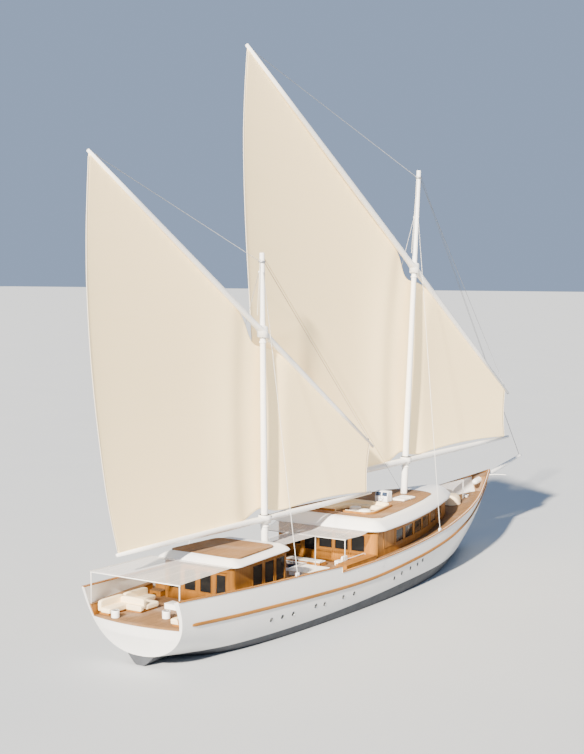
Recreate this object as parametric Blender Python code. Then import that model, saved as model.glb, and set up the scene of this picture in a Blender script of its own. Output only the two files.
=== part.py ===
"""Two-masted sailing dhow, a scale model at half of full size.

X points to the bow, Y to port and Z up. The origin lies amidships on the waterline, so the
hull's underwater body is below zero. All lengths are metres of the model.
"""
import math

import bmesh
import bpy
import numpy as np
from mathutils import Matrix, Vector

# Gaps between touching pieces, and the running clearance of moving ones
SEAT = 0.0004
RUNNING = 0.03

# Hull
STERN_X = -14.41
STEM_X = 14.84
STEM_BLOCK_X = 13.5
RAIL_TURN_X = 14.5
TRANSOM_RAKE = 0.59
TRANSOM_BULGE = 0.30
TRANSOM_REACH = 2.2
KEEL_HALF = 0.16
DRAFT = 2.0
SKEG_END_X = -13.05
SKEG_START_X = 7.2
SHEER_STEP_X = -5.22
WALL = 0.09

# Decks
DECK_Z = 1.58
DECK_THICK = 0.03
FORE_DECK_START_X = -1.86

# Deckhouses
HOUSE_WALL = 0.06
CEILING_Z = 3.08
WINDOW_GAP = 0.004

# Rig
MAST_FOOT_Z = DECK_Z
TRIM_DEG = 4.0
SAIL_THICK = 0.016

# Underwater gear
SHAFT_Y = 1.05
SHAFT_Z = -0.92
PROP_X = -11.45
PROP_RADIUS = 0.45
RUDDER_X = -13.27

# Colours: name, red, green, blue, roughness, metallic
FINISHES = {
    "hull_white": (0.86, 0.85, 0.82, 0.35, 0.0),
    "roof_white": (0.93, 0.93, 0.92, 0.4, 0.0),
    "spar_white": (0.92, 0.92, 0.9, 0.3, 0.0),
    "varnished_wood": (0.62, 0.32, 0.1, 0.35, 0.0),
    "teak": (0.52, 0.36, 0.23, 0.7, 0.0),
    "smoked_glass": (0.05, 0.06, 0.07, 0.1, 0.0),
    "sailcloth": (0.87, 0.79, 0.66, 0.8, 0.0),
    "awning_cloth": (0.75, 0.76, 0.78, 0.8, 0.0),
    "cushion": (0.9, 0.86, 0.75, 0.85, 0.0),
    "pool_lining": (0.05, 0.08, 0.16, 0.3, 0.0),
    "stainless": (0.7, 0.7, 0.7, 0.25, 1.0),
    "bronze": (0.55, 0.42, 0.2, 0.35, 1.0),
    "bottom_grey": (0.45, 0.46, 0.47, 0.5, 0.0),
}


def finish(name):
    """The material of this name, made once."""
    found = bpy.data.materials.get(name)
    if found:
        return found
    red, green, blue, rough, metal = FINISHES[name]
    material = bpy.data.materials.new(name)
    material.use_nodes = True
    shader = material.node_tree.nodes["Principled BSDF"]
    shader.inputs["Base Color"].default_value = (red, green, blue, 1.0)
    shader.inputs["Roughness"].default_value = rough
    shader.inputs["Metallic"].default_value = metal
    material.diffuse_color = (red, green, blue, 1.0)
    return material


def add_mesh(name, points, faces, look, smooth=False):
    """One closed body from points and faces, its faces turned outwards."""
    mesh = bpy.data.meshes.new(name)
    mesh.from_pydata([tuple(p) for p in points], [], faces)
    work = bmesh.new()
    work.from_mesh(mesh)
    bmesh.ops.remove_doubles(work, verts=work.verts, dist=0.00001)
    bmesh.ops.dissolve_degenerate(work, edges=work.edges, dist=0.00001)
    bmesh.ops.recalc_face_normals(work, faces=work.faces)
    if work.calc_volume(signed=True) < 0:
        bmesh.ops.reverse_faces(work, faces=work.faces)
    work.to_mesh(mesh)
    work.free()
    item = bpy.data.objects.new(name, mesh)
    bpy.context.scene.collection.objects.link(item)
    mesh.materials.append(finish(look))
    if smooth:
        mesh.shade_smooth()
        mesh.set_sharp_from_angle(angle=math.radians(35))
    return item


def two_halves(a, b, c, d):
    """A quad as two triangles, always split the same way, so that touching skins match."""
    return [(a, b, c), (a, c, d)]


def loft(name, rings, look, smooth=False, closed=False):
    """A skin through rings of equal length, with a flat cap on each end unless it closes."""
    count = len(rings[0])
    points = [p for ring in rings for p in ring]
    faces = []
    last = len(rings) if closed else len(rings) - 1
    for i in range(last):
        here = i * count
        there = (i + 1) % len(rings) * count
        for j in range(count):
            k = (j + 1) % count
            faces += two_halves(here + j, here + k, there + k, there + j)
    if not closed:
        faces.append(tuple(range(count)))
        faces.append(tuple((len(rings) - 1) * count + j for j in range(count)))
    return add_mesh(name, points, faces, look, smooth)


def prism(name, outline, low, high, look, smooth=False):
    """An upright prism on an outline of (x, y) points."""
    rings = [[(x, y, z) for x, y in outline] for z in (low, high)]
    return loft(name, rings, look, smooth)


def block(name, low, high, look):
    """A box between two corners."""
    outline = [(low[0], low[1]), (high[0], low[1]), (high[0], high[1]), (low[0], high[1])]
    return prism(name, outline, low[2], high[2], look)


def frame_along(direction):
    """Two unit vectors square to a direction, the second as upright as it can be."""
    forward = Vector(direction).normalized()
    up = Vector((0, 0, 1))
    if abs(forward.z) > 0.95:
        up = Vector((1, 0, 0))
    side = forward.cross(up).normalized()
    return side, side.cross(forward).normalized()


def spar(name, start, end, sections, look, sides=16):
    """A straight spar. Each section has a place along it from 0 to 1, half width and half height."""
    start = Vector(start)
    end = Vector(end)
    side, up = frame_along(end - start)
    rings = []
    for place, half_width, half_height in sections:
        centre = start.lerp(end, place)
        ring = []
        for i in range(sides):
            turn = 2 * math.pi * i / sides
            ring.append(centre + side * math.cos(turn) * half_width + up * math.sin(turn) * half_height)
        rings.append(ring)
    return loft(name, rings, look, smooth=True)


def rod(name, start, end, radius, look, sides=8):
    """A round bar of even thickness."""
    return spar(name, start, end, ((0, radius, radius), (1, radius, radius)), look, sides)


def hide_tool(item):
    """Marks a cutter or a helper, which isn't part of the object."""
    item.hide_render = True
    item.display_type = "WIRE"


def change(item, kind, tool):
    """Cuts, joins or trims an item with a tool body, which is hidden."""
    step = item.modifiers.new(tool.name, "BOOLEAN")
    step.operation = kind
    step.object = tool
    step.solver = "EXACT"
    hide_tool(tool)
    return item


def cut(item, tool):
    return change(item, "DIFFERENCE", tool)


def join(item, tool):
    return change(item, "UNION", tool)


def curve_value(table, x, column):
    """A smooth value at x from rows sorted by their first column (Catmull-Rom slopes)."""
    xs = [row[0] for row in table]
    ys = [row[column] for row in table]
    if x <= xs[0]:
        return ys[0]
    if x >= xs[-1]:
        return ys[-1]
    i = max(k for k in range(len(xs) - 1) if xs[k] <= x)
    span = xs[i + 1] - xs[i]
    t = (x - xs[i]) / span
    slope = []
    for k in (i, i + 1):
        a = max(k - 1, 0)
        b = min(k + 1, len(xs) - 1)
        slope.append((ys[b] - ys[a]) / (xs[b] - xs[a]) * span)
    h00 = 2 * t ** 3 - 3 * t ** 2 + 1
    h10 = t ** 3 - 2 * t ** 2 + t
    h01 = -2 * t ** 3 + 3 * t ** 2
    h11 = t ** 3 - t ** 2
    return h00 * ys[i] + h10 * slope[0] + h01 * ys[i + 1] + h11 * slope[1]


# Hull lines: place along the hull, half breadth at the sheer, height of the sheer,
# height of the body's bottom, and the two numbers that set how full a section is
HULL_LINES = (
    (-14.41, 2.165, 2.68, 0.36, 2.70, 0.45),
    (-13.00, 2.37, 2.59, 0.10, 2.66, 0.47),
    (-11.00, 2.55, 2.50, -0.48, 2.60, 0.49),
    (-8.00, 2.72, 2.39, -1.05, 2.56, 0.51),
    (-4.00, 2.85, 2.22, -1.36, 2.55, 0.51),
    (0.00, 2.87, 2.14, -1.40, 2.55, 0.51),
    (4.00, 2.70, 2.28, -1.28, 2.30, 0.58),
    (7.00, 2.32, 2.58, -0.92, 1.95, 0.70),
    (9.00, 1.92, 2.80, -0.42, 1.70, 0.80),
    (10.50, 1.52, 2.98, 0.06, 1.55, 0.86),
    (12.00, 1.02, 3.16, 0.70, 1.45, 0.90),
    (13.40, 0.54, 3.36, 1.80, 1.40, 0.90),
    (14.30, 0.22, 3.50, 2.80, 1.40, 0.90),
    (14.90, 0.06, 3.58, 3.54, 1.40, 0.90),
)
# Height of the rubbing strake along the hull
STRAKE_LINE = (
    (-14.1, 1.70), (-12.3, 1.615), (-10.0, 1.525), (-6.75, 1.395), (-3.75, 1.31), (-2.1, 1.32),
    (1.57, 1.485), (3.75, 1.645), (5.7, 1.82), (8.25, 2.18), (10.1, 2.59), (12.25, 2.90), (13.5, 3.12),
)
# Bottom of the keel: place, depth, half thickness
KEEL_LINE = (
    (-13.05, 1.92, 0.10), (-9.0, 2.00, 0.16), (2.0, 1.86, 0.16), (5.0, 1.60, 0.14), (7.2, 1.06, 0.08),
)


def sheer_z(x):
    """Top of the bulwark, a step lower forward of the quarter bulwark."""
    if x < SHEER_STEP_X:
        return curve_value(HULL_LINES, x, 2)
    rise = max(x + 3.0, 0.0) / 17.95
    return 2.02 + 1.565 * rise ** 1.85


def half_breadth(x, z, grow=0.0):
    """Half breadth of the hull's skin at a place and height."""
    breadth = curve_value(HULL_LINES, x, 1)
    top = curve_value(HULL_LINES, x, 2)
    bottom = curve_value(HULL_LINES, x, 3)
    part = min(max((z - bottom) / (top - bottom), 0.0), 1.08)
    fullness = curve_value(HULL_LINES, x, 4)
    power = curve_value(HULL_LINES, x, 5)
    return breadth * (1 - abs(1 - part) ** fullness) ** power + grow


def transom_x(x, y, z):
    """Shifts the stern's points aft with height, and aft in the middle, fading forward."""
    fade = max(0.0, 1 - (x - STERN_X) / TRANSOM_REACH)
    breadth = max(half_breadth(STERN_X, z), 0.3)
    middle = 1 - min(abs(y) / breadth, 1.0) ** 2
    bulge = TRANSOM_BULGE * middle * min(max((z - 0.36) / 0.8, 0.0), 1.0)
    rake = TRANSOM_RAKE * max((z - 0.4) / 2.28, 0.0) ** 1.7
    return x - fade ** 2 * (rake + bulge)


# Walking surface of the raised side decks and foredeck: place, height
FORE_DECK_LINE = (
    (-1.86, 1.93), (2.0, 1.98), (5.0, 2.06), (7.5, 2.17), (9.5, 2.29), (11.6, 2.42), (13.5, 2.54),
)


def fore_deck_z(x):
    return curve_value(FORE_DECK_LINE, x, 1)


def deck_edge_z(x):
    """Top of the solid hull: under the deck planks, and up to the rail in the stem's block."""
    if x < FORE_DECK_START_X:
        return DECK_Z - DECK_THICK - SEAT
    if x < STEM_BLOCK_X:
        return fore_deck_z(x) - DECK_THICK - SEAT
    return sheer_z(x) - 0.04


def stations(start=None, end=None):
    """Places of the sections, with close pairs at the skeg's ends and at each step of the deck.

    Everything that touches the hull's skin or deck is built on the same places, so that the
    facets lie on each other.
    """
    even = list(np.linspace(STERN_X, STEM_X, 31))
    pairs = []
    for place in (SKEG_END_X, SHEER_STEP_X, FORE_DECK_START_X, SKEG_START_X, STEM_BLOCK_X):
        even = [x for x in even if abs(x - place) > 0.3]
        pairs += [place - STEP_HALF, place + STEP_HALF]
    places = sorted(even + pairs)
    if start is not None:
        places = [x for x in places if start < x < end]
        places = [start] + places + [end]
    return places


STEP_HALF = 0.006


def on_facets(function, x):
    """The value of a function as the facets between the stations give it."""
    places = stations()
    for a, b in zip(places, places[1:]):
        if a <= x <= b:
            return function(a) + (function(b) - function(a)) * (x - a) / (b - a)
    return function(x)


BODY_STEPS = 11
FLOOR_STEPS = 6


def half_section(x, grow=0.0, tall=False):
    """Points of a half section, from the keel's bottom up to the deck's edge or the rail."""
    bottom = curve_value(HULL_LINES, x, 3)
    top = deck_edge_z(x)
    fin = SKEG_END_X <= x <= SKEG_START_X
    plain = 0.09 if x < 0 else 0.04
    half = curve_value(KEEL_LINE, x, 2) if fin else plain
    low = -curve_value(KEEL_LINE, x, 1) if fin else bottom
    # Lowest height at which the body is as wide as the keel
    join_z = bottom
    while half_breadth(x, join_z) < half and join_z < top - 0.05:
        join_z += 0.002
    points = [(half + grow, min(low, join_z) - grow)]
    for j in range(BODY_STEPS + 1):
        t = (j / BODY_STEPS) ** 1.5
        z = join_z + (top - join_z) * t
        points.append((max(half_breadth(x, z), half) + grow, z))
    if tall and x < STEM_BLOCK_X:
        high = sheer_z(x) - 0.04
        for z in ((top + high) / 2, high):
            points.append((half_breadth(x, z) + grow, z))
    elif tall:
        points += [points[-1], points[-1]]
    return points


def hull_body(name, grow, look, tall=False, smooth=True):
    """The solid hull with its keel, closed over the deck, the transom and the stem."""
    points = []
    rows = []
    width = 6
    for x in stations():
        half = half_section(x, grow, tall)
        ring = [(transom_x(x, y, z), y, z) for y, z in half]
        top_y, top_z = half[-1]
        for k in range(1, width):
            y = top_y * (1 - 2 * k / width)
            ring.append((transom_x(x, y, top_z), y, top_z))
        for y, z in reversed(half):
            ring.append((transom_x(x, -y, z), -y, z))
        rows.append(ring)
    count = len(rows[0])
    faces = []
    for i, ring in enumerate(rows):
        points += ring
        if i + 1 < len(rows):
            for j in range(count):
                k = (j + 1) % count
                faces += two_halves(i * count + j, i * count + k, (i + 1) * count + k, (i + 1) * count + j)
    # The transom: strips across from port to starboard, bulged aft
    section = half_section(STERN_X, grow, tall)
    levels = len(section)
    grid = []
    for j, (y, z) in enumerate(section):
        line = [j]
        for k in range(1, width):
            across = y * (1 - 2 * k / width)
            if j == 0:
                line.append(0)
            elif j == levels - 1:
                line.append(levels - 1 + k)
            else:
                line.append(len(points))
                points.append((transom_x(STERN_X, across, z), across, z))
        line.append(count - 1 - j)
        grid.append(line)
    for j in range(1, levels - 1):
        for k in range(width):
            faces.append((grid[j][k], grid[j][k + 1], grid[j + 1][k + 1], grid[j + 1][k]))
    for k in range(width):
        corner = 0 if k < width // 2 else count - 1
        faces.append((corner, grid[1][k + 1], grid[1][k]))
    faces.append((0, count - 1, grid[1][width // 2]))
    faces.append(tuple((len(rows) - 1) * count + j for j in range(count)))
    return add_mesh(name, points, faces, look, smooth)


def bulwark_profile(x):
    """Outer skin of the hull above the deck's edge, with an inner face a wall's width in."""
    low = deck_edge_z(x) + SEAT
    high = sheer_z(x) - 0.04
    mid = (low + high) / 2
    ys = [half_breadth(x, z) for z in (low, mid, high)]
    thicker = 0.07 * min(max((-13.3 - x) / 0.9, 0.0), 1.0)
    inner = [max(y - WALL - thicker * share, 0.015) for y, share in zip(ys, (0, 0.5, 1))]
    return [(inner[0], low), (ys[0], low), (ys[1], mid), (ys[2], high), (inner[2], high), (inner[1], mid)]


# Inner edge of the ledge along the quarter bulwark: place, distance from the middle line
LEDGE_LINE = ((-14.4, 1.93), (-13.2, 1.99), (-11.7, 2.14), (-10.3, 2.27))
LEDGE_TOP = 2.0


def ledge_profile(x):
    """Section of the ledge between the aft deck and the bulwark's inner face."""
    (low_y, low), *_, (mid_y, mid) = bulwark_profile(x)
    share = (LEDGE_TOP - low) / (mid - low)
    top_y = low_y + (mid_y - low_y) * share - 0.015
    floor = DECK_Z + SEAT
    foot_y = low_y + (mid_y - low_y) * (floor - low) / (mid - low) - 0.015
    inner = curve_value(LEDGE_LINE, x, 1)
    return [(inner, floor), (foot_y, floor), (top_y, LEDGE_TOP), (inner, LEDGE_TOP)]


def cap_profile(x):
    """Flat rail on the bulwark's top, wider than the bulwark on both sides."""
    low = sheer_z(x) - 0.039
    outer = half_breadth(x, low) + 0.025
    inner = max(outer - 0.15, 0.012)
    return [(inner, low), (outer, low), (outer, low + 0.028), (outer - 0.02, low + 0.04),
            (inner + 0.02, low + 0.04), (inner, low + 0.028)]


def side_rings(profile, places, sign=1):
    """Rings of a profile along one side, numbered as the hull's own rings are on that side."""
    rings = [[(transom_x(x, y, z), sign * y, z) for y, z in profile(x)] for x in places]
    return rings if sign > 0 else [ring[::-1] for ring in rings]


def deck_half(x):
    """Half breadth of the planking inside the bulwark."""
    return max(half_breadth(x, deck_edge_z(x)) - WALL - 2 * SEAT, 0.01)


def build_hull():
    """Hull, bulwarks, cap rail, strakes, stem cap and decks."""
    hull = hull_body("hull", 0.0, "hull_white")
    skin = hull_body("hull_skin", SEAT, "hull_white", tall=True, smooth=False)
    hide_tool(skin)
    for side, sign in (("port", 1), ("starboard", -1)):
        places = stations(STERN_X + 0.02, STEM_BLOCK_X - STEP_HALF - SEAT)
        loft("bulwark_" + side, side_rings(bulwark_profile, places, sign), "hull_white")
        rings = []
        for x in stations(-14.0, 13.45):
            z = curve_value(STRAKE_LINE, x, 1)
            low_y = half_breadth(x, z - 0.05)
            high_y = half_breadth(x, z + 0.05)
            out = 0.045
            ring = [(low_y - 0.03, z - 0.05), (low_y + out * 0.6, z - 0.04), (low_y + out, z),
                    (high_y + out * 0.6, z + 0.04), (high_y - 0.03, z + 0.05)]
            rings.append([(transom_x(x, y, h), sign * y, h) for y, h in ring])
        cut(loft("strake_" + side, rings, "varnished_wood"), skin)
        places = stations(STERN_X + 0.03, -10.9)
        ledge = loft("ledge_" + side, side_rings(ledge_profile, places, sign), "varnished_wood")
        if sign > 0:
            # Two steps up to the side of the aft house
            for number, (start, top) in enumerate(((-11.12, 1.8), (-10.72, 2.02))):
                step = block(f"side_step_{number}", (start, 1.68, DECK_Z + SEAT), (-10.3, 2.24, top), "varnished_wood")
                join(ledge, step)
    places = stations(STERN_X + 0.02, RAIL_TURN_X)
    port = side_rings(cap_profile, places)
    starboard = [[(x, -y, z) for x, y, z in ring] for ring in port]
    # Where the two sides meet, the rail's section lies fore and aft
    lift = sheer_z(STEM_X + 0.08) - sheer_z(RAIL_TURN_X)
    tip = [(RAIL_TURN_X + 0.06 + max(y - port[-1][0][1], 0) * 2.0, 0, z + lift)
           for x, y, z in port[-1]]
    loft("cap_rail", port + [tip] + starboard[::-1], "varnished_wood")
    # Stem cap along the raked stem
    rings = []
    for x in np.linspace(11.2, STEM_X - 0.03, 12):
        z = curve_value(HULL_LINES, x, 3)
        slope = (curve_value(HULL_LINES, x + 0.02, 3) - curve_value(HULL_LINES, x - 0.02, 3)) / 0.04
        out = Vector((slope, 0, -1)).normalized()
        near = Vector((x, 0, z)) - out * 0.05
        far = Vector((x, 0, z)) + out * 0.07
        rings.append([(near.x, 0.035, near.z), (far.x, 0.025, far.z), (far.x, -0.025, far.z),
                      (near.x, -0.035, near.z)])
    cut(loft("stem_cap", rings, "varnished_wood"), skin)
    # Aft and middle deck
    rings = []
    for x in stations(STERN_X + 0.03, MAIN_HOUSE[0][0] - 2 * SEAT):
        half = deck_half(x)
        ring = []
        for z in (DECK_Z - DECK_THICK, DECK_Z):
            row = [(transom_x(x, half * k / 3, z), half * k / 3, z) for k in range(-3, 4)]
            ring += row if z < DECK_Z else row[::-1]
        rings.append(ring)
    loft("deck_aft", rings, "teak")
    # Foredeck
    rings = []
    for x in stations(FORE_DECK_START_X + STEP_HALF + SEAT, STEM_BLOCK_X - STEP_HALF - SEAT):
        z = fore_deck_z(x)
        half = deck_half(x)
        rings.append([(x, half, z - DECK_THICK), (x, half, z), (x, -half, z), (x, -half, z - DECK_THICK)])
    fore = loft("deck_fore", rings, "teak")
    return hull, skin, fore


# Outlines of the houses and roofs: place, half width
AFT_HOUSE = ((-11.0, 1.62), (-7.05, 1.44))
AFT_ROOF = ((-11.28, 1.93), (-6.88, 1.62))
MAIN_HOUSE = ((-1.9, 2.48), (0.9, 2.30), (3.65, 1.88), (5.5, 1.46), (7.3, 1.0), (8.35, 0.6))
MAIN_ROOF = ((-2.22, 2.84), (0.9, 2.62), (3.65, 2.18), (5.5, 1.76), (7.3, 1.28), (8.3, 0.9))
MAIN_ROOF_NOSE = 0.75


# Roof decks: place, half width
AFT_ROOF_DECK = ((-10.75, 1.60), (-7.8, 1.38))
MAIN_ROOF_DECK = ((-1.5, 2.33), (0.9, 2.11), (3.65, 1.67), (5.55, 1.23))


def house_outline(table, shrink=0.0, corner=0.3, nose=0.0, steps=4):
    """Plan outline of a house: bowed sides, corners of this radius, a bowed or a flat front.

    Nose is how far the forward end bows out past the last row, and shrink moves the whole
    outline inwards by an even distance.
    """
    aft = table[0][0]
    fore = table[-1][0]
    side = []
    for k in range(steps + 1):
        turn = math.pi / 2 * (1 - k / steps)
        x = aft + corner * (1 - math.sin(turn))
        side.append((x, curve_value(table, x, 1) - corner * (1 - math.cos(turn))))
    end = fore if nose else fore - corner
    for x in np.linspace(aft + corner, end, 10)[1:]:
        side.append((x, curve_value(table, x, 1)))
    if nose:
        half = curve_value(table, fore, 1)
        slope = (half - curve_value(table, fore - 0.2, 1)) / 0.2
        for k in range(1, 5):
            turn = math.pi / 2 * k / 5
            x = fore + nose * math.sin(turn)
            side.append((x, (half + slope * (x - fore) * 0.6) * math.cos(turn)))
    else:
        for k in range(1, steps + 1):
            turn = math.pi / 2 * k / steps
            x = fore - corner * (1 - math.sin(turn))
            side.append((x, curve_value(table, x, 1) - corner * (1 - math.cos(turn))))
    outline = side + [(x, -y) for x, y in reversed(side)]
    return inset(outline, shrink)


def inset(outline, distance):
    """Moves a closed outline inwards by an even distance (outwards if negative)."""
    if distance == 0:
        return outline
    moved = []
    count = len(outline)
    for i in range(count):
        before = Vector(outline[i - 1])
        here = Vector(outline[i])
        after = Vector(outline[(i + 1) % count])
        first = (here - before).normalized()
        second = (after - here).normalized()
        # The outline runs clockwise seen from above, so its inner side is on the right
        first_in = Vector((first.y, -first.x))
        second_in = Vector((second.y, -second.x))
        middle = (first_in + second_in).normalized()
        stretch = 1 / max(middle.dot(first_in), 0.5)
        moved.append(tuple(here + middle * distance * stretch))
    return moved


def shell(name, outer, inner, low, high, look):
    """A wall between an outer and an inner outline."""
    wall = prism(name, outer, low, high, look)
    room = prism(name + "_room", inner, low - 0.1, high + 0.1, look)
    return cut(wall, room)


# Windows of each house: side, centre along it, width, sill, head
# Side s is both long walls, a is the aft wall
AFT_WINDOWS = (
    ("s", -9.32, 0.66, 2.00, 2.88), ("s", -8.47, 0.64, 2.00, 2.88), ("s", -7.66, 0.62, 2.00, 2.88),
    ("a", 1.06, 0.50, 2.00, 2.78), ("a", 0.36, 0.50, 2.00, 2.78), ("a", -0.36, 0.50, 2.00, 2.78),
)
MAIN_WINDOWS = (
    ("s", 0.43, 0.74, 2.30, 2.84), ("s", 1.50, 0.94, 2.31, 2.84), ("s", 2.70, 0.92, 2.32, 2.85),
    ("s", 3.87, 0.98, 2.33, 2.85), ("s", 5.21, 0.94, 2.36, 2.86), ("s", 6.38, 0.86, 2.42, 2.86),
    ("a", -1.60, 0.64, 2.15, 2.84), ("a", -0.80, 0.64, 2.15, 2.84), ("a", 0.0, 0.64, 2.15, 2.84),
    ("a", 1.60, 0.64, 2.15, 2.84),
)
# Doors in the aft walls: node, house, centre across, width, height of the opening's top,
# the side of the free edge (1 is to port), height of the floor under the pivot
DOORS = (
    ("aft_house_door", "aft", -1.06, 0.50, 2.80, 1, DECK_Z),
    ("main_house_door", "main", 0.80, 0.62, 2.84, -1, DECK_Z - DECK_THICK - SEAT),
)
DOOR_HALF = 0.02


def window_cutter(name, windows, doors, table):
    """Bars through both long walls and the aft wall, joined into the cutters of one house."""
    cutters = []
    for number, (side, place, width, sill, head) in enumerate(windows):
        label = f"{name}_window_{number}"
        if side == "s":
            reach = curve_value(table, place, 1)
            low = (place - width / 2, -reach - 0.5, sill)
            high = (place + width / 2, reach + 0.5, head)
        else:
            low = (table[0][0] - 0.4, place - width / 2, sill)
            high = (table[0][0] + 0.5, place + width / 2, head)
        cutters.append(block(label, low, high, "smoked_glass"))
    for node, house, place, width, head, swing, floor in doors:
        low = (table[0][0] - 0.4, place - width / 2, DECK_Z - 0.2)
        high = (table[0][0] + 0.5, place + width / 2, head)
        cutters.append(block(node + "_opening", low, high, "smoked_glass"))
    return cutters


def build_house(name, table, windows, door, corner, nose, low):
    """Walls with cut windows, and the band of glass behind them."""
    outer = house_outline(table, 0.0, corner, nose)
    inner = house_outline(table, HOUSE_WALL, corner, nose)
    walls = shell(name + "_walls", outer, inner, low, CEILING_Z - SEAT, "varnished_wood")
    for tool in window_cutter(name, windows, (door,), table):
        cut(walls, tool)
    sill = min(row[3] for row in windows) - 0.06
    head = max(row[4] for row in windows) + 0.06
    gap = HOUSE_WALL + SEAT
    band = shell(name + "_glass", house_outline(table, gap, corner, nose),
                 house_outline(table, gap + 0.012, corner, nose), sill, head, "smoked_glass")
    node, house, place, width, top, swing, floor = door
    clear = block(node + "_glass_gap", (table[0][0] - 0.4, place - width / 2 - 0.03, sill - 0.1),
                  (table[0][0] + 0.5, place + width / 2 + 0.03, head + 0.1), "smoked_glass")
    cut(band, clear)
    hinge_x = table[0][0] + 0.025
    hinge_y = place - swing * (width / 2 - DOOR_HALF - 0.006)
    free_y = place + swing * (width / 2 - 0.006)
    low = DECK_Z + 0.012
    high = top - 0.006
    ys = sorted((hinge_y, free_y))
    leaf = block(node, (hinge_x - DOOR_HALF, ys[0], low), (hinge_x + DOOR_HALF, ys[1], high), "varnished_wood")
    edge = rod(node + "_edge", (hinge_x, hinge_y, low), (hinge_x, hinge_y, high), DOOR_HALF, "varnished_wood", 16)
    pivot = rod(node + "_pivot", (hinge_x, hinge_y, floor + SEAT), (hinge_x, hinge_y, top - SEAT), 0.01,
                "varnished_wood", 12)
    join(leaf, edge)
    join(leaf, pivot)
    return walls, leaf


# Roof crown: share of the way in from the rim, height above the ceiling
ROOF_RINGS = (
    (0.03, 0.0), (0.0, 0.025), (0.0, 0.06), (0.05, 0.13), (0.16, 0.21), (0.34, 0.275), (0.48, 0.30),
)


def build_roof(name, table, corner, nose, rise):
    """A crowned roof slab with a soft rim and a flat middle for the roof deck."""
    rings = []
    for inset, height in ROOF_RINGS:
        outline = house_outline(table, inset, corner, nose)
        rings.append([(x, y, CEILING_Z + height / 0.30 * rise) for x, y in outline])
    return loft(name, rings, "roof_white", smooth=True)


def build_houses(hull, fore):
    aft_door, main_door = DOORS
    build_house("aft_house", AFT_HOUSE, AFT_WINDOWS, aft_door, 0.22, 0, DECK_Z + SEAT)
    build_house("main_house", MAIN_HOUSE, MAIN_WINDOWS, main_door, 0.22, 0.35, DECK_Z - DECK_THICK)
    # The main house stands in a well cut through the raised deck
    well = prism("main_house_well", house_outline(MAIN_HOUSE, -0.001, 0.22, 0.35),
                 DECK_Z - DECK_THICK - SEAT, CEILING_Z + 1, "teak")
    cut(hull, well)
    cut(fore, well)
    aft_roof = build_roof("aft_house_roof", AFT_ROOF, 0.5, 0, 0.28)
    main_roof = build_roof("main_house_roof", MAIN_ROOF, 0.7, MAIN_ROOF_NOSE, 0.45)
    top_aft = CEILING_Z + 0.28
    top_main = CEILING_Z + 0.45
    prism("aft_roof_deck", house_outline(AFT_ROOF_DECK, 0, 0.3), top_aft + SEAT, top_aft + 0.015, "teak")
    deck = prism("main_roof_deck", house_outline(MAIN_ROOF_DECK, 0, 0.5, 0.8), top_main + SEAT,
                 top_main + 0.015, "teak")
    return aft_roof, main_roof, deck


# Roof cockpit: place, half width
COCKPIT = ((-0.84, 1.60), (0.2, 1.47), (1.93, 1.17))
COCKPIT_CORNER = 0.5
# Inner outline of its bench
COCKPIT_WELL = ((-0.44, 1.18), (0.2, 1.06), (1.52, 0.80))
COCKPIT_TABLES = ((0.42, -0.03, 0.25), (0.70, -0.43, 0.27), (1.08, 0.26, 0.26))
COCKPIT_FLOOR = CEILING_Z + 0.2


def build_cockpit(roof, deck):
    """A sunk seating well in the main roof with its wooden rim, bench, table and helm."""
    top = CEILING_Z + 0.45
    outline = house_outline(COCKPIT, 0.0, COCKPIT_CORNER, 0)
    pit = prism("cockpit_pit", outline, COCKPIT_FLOOR, top + 1, "roof_white")
    cut(roof, pit)
    rim_hole = prism("cockpit_rim_hole", house_outline(COCKPIT, -0.101, COCKPIT_CORNER, 0), top - 0.2, top + 1, "teak")
    cut(deck, rim_hole)
    rim = shell("cockpit_rim", house_outline(COCKPIT, -0.1, COCKPIT_CORNER, 0),
                house_outline(COCKPIT, 0.0, COCKPIT_CORNER, 0), top + SEAT, top + 0.1, "varnished_wood")
    bench = shell("cockpit_bench", house_outline(COCKPIT, 0.01, COCKPIT_CORNER, 0),
                  house_outline(COCKPIT_WELL, 0.0, 0.2, 0), COCKPIT_FLOOR + SEAT, COCKPIT_FLOOR + 0.2, "cushion")
    # The way in from aft, through the rim and the bench
    entry = block("cockpit_entry", (-1.2, -0.30, top - 0.3), (-0.2, 0.16, top + 1), "cushion")
    cut(rim, entry)
    cut(bench, entry)
    tables = rod("cockpit_table", (0.72, -0.06, COCKPIT_FLOOR + SEAT), (0.72, -0.06, COCKPIT_FLOOR + 0.03), 0.36,
                 "roof_white", 20)
    for number, (x, y, radius) in enumerate(COCKPIT_TABLES):
        join(tables, rod(f"cockpit_table_{number}", (x, y, COCKPIT_FLOOR + 0.01),
                         (x, y, COCKPIT_FLOOR + 0.15 + 0.015 * number), radius, "roof_white", 18))
    outline = [(2.42, -0.62), (2.86, -0.62), (2.86, 0.02), (2.42, 0.02)]
    low = [(x, y, top + 0.015 + SEAT) for x, y in outline]
    high = [(x + (0.1 if x < 2.6 else 0), y, top + 0.47) for x, y in outline]
    loft("helm_console", [low, high], "roof_white")
    block("roof_sun_pad", (3.0, -1.18, top + 0.015 + SEAT), (4.15, -0.45, top + 0.12), "cushion")


# Masts: foot place, rake forward in degrees, height above the foot, radius at foot and top,
# height above the foot where the yard and the boom pass, and where the shrouds meet
MASTS = {
    "mizzen": {"foot_x": -6.525, "rake": -1.3, "height": 13.05, "foot_r": 0.15, "top_r": 0.1,
               "foot_z": DECK_Z + SEAT, "yard_v": 9.946, "boom_v": 2.487, "shroud_v": 12.3},
    "main": {"foot_x": 5.03, "rake": 4.3, "height": 17.2, "foot_r": 0.16, "top_r": 0.1,
             "foot_z": MAST_FOOT_Z + SEAT, "yard_v": 12.59, "boom_v": 3.514, "shroud_v": 15.0},
}
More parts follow.
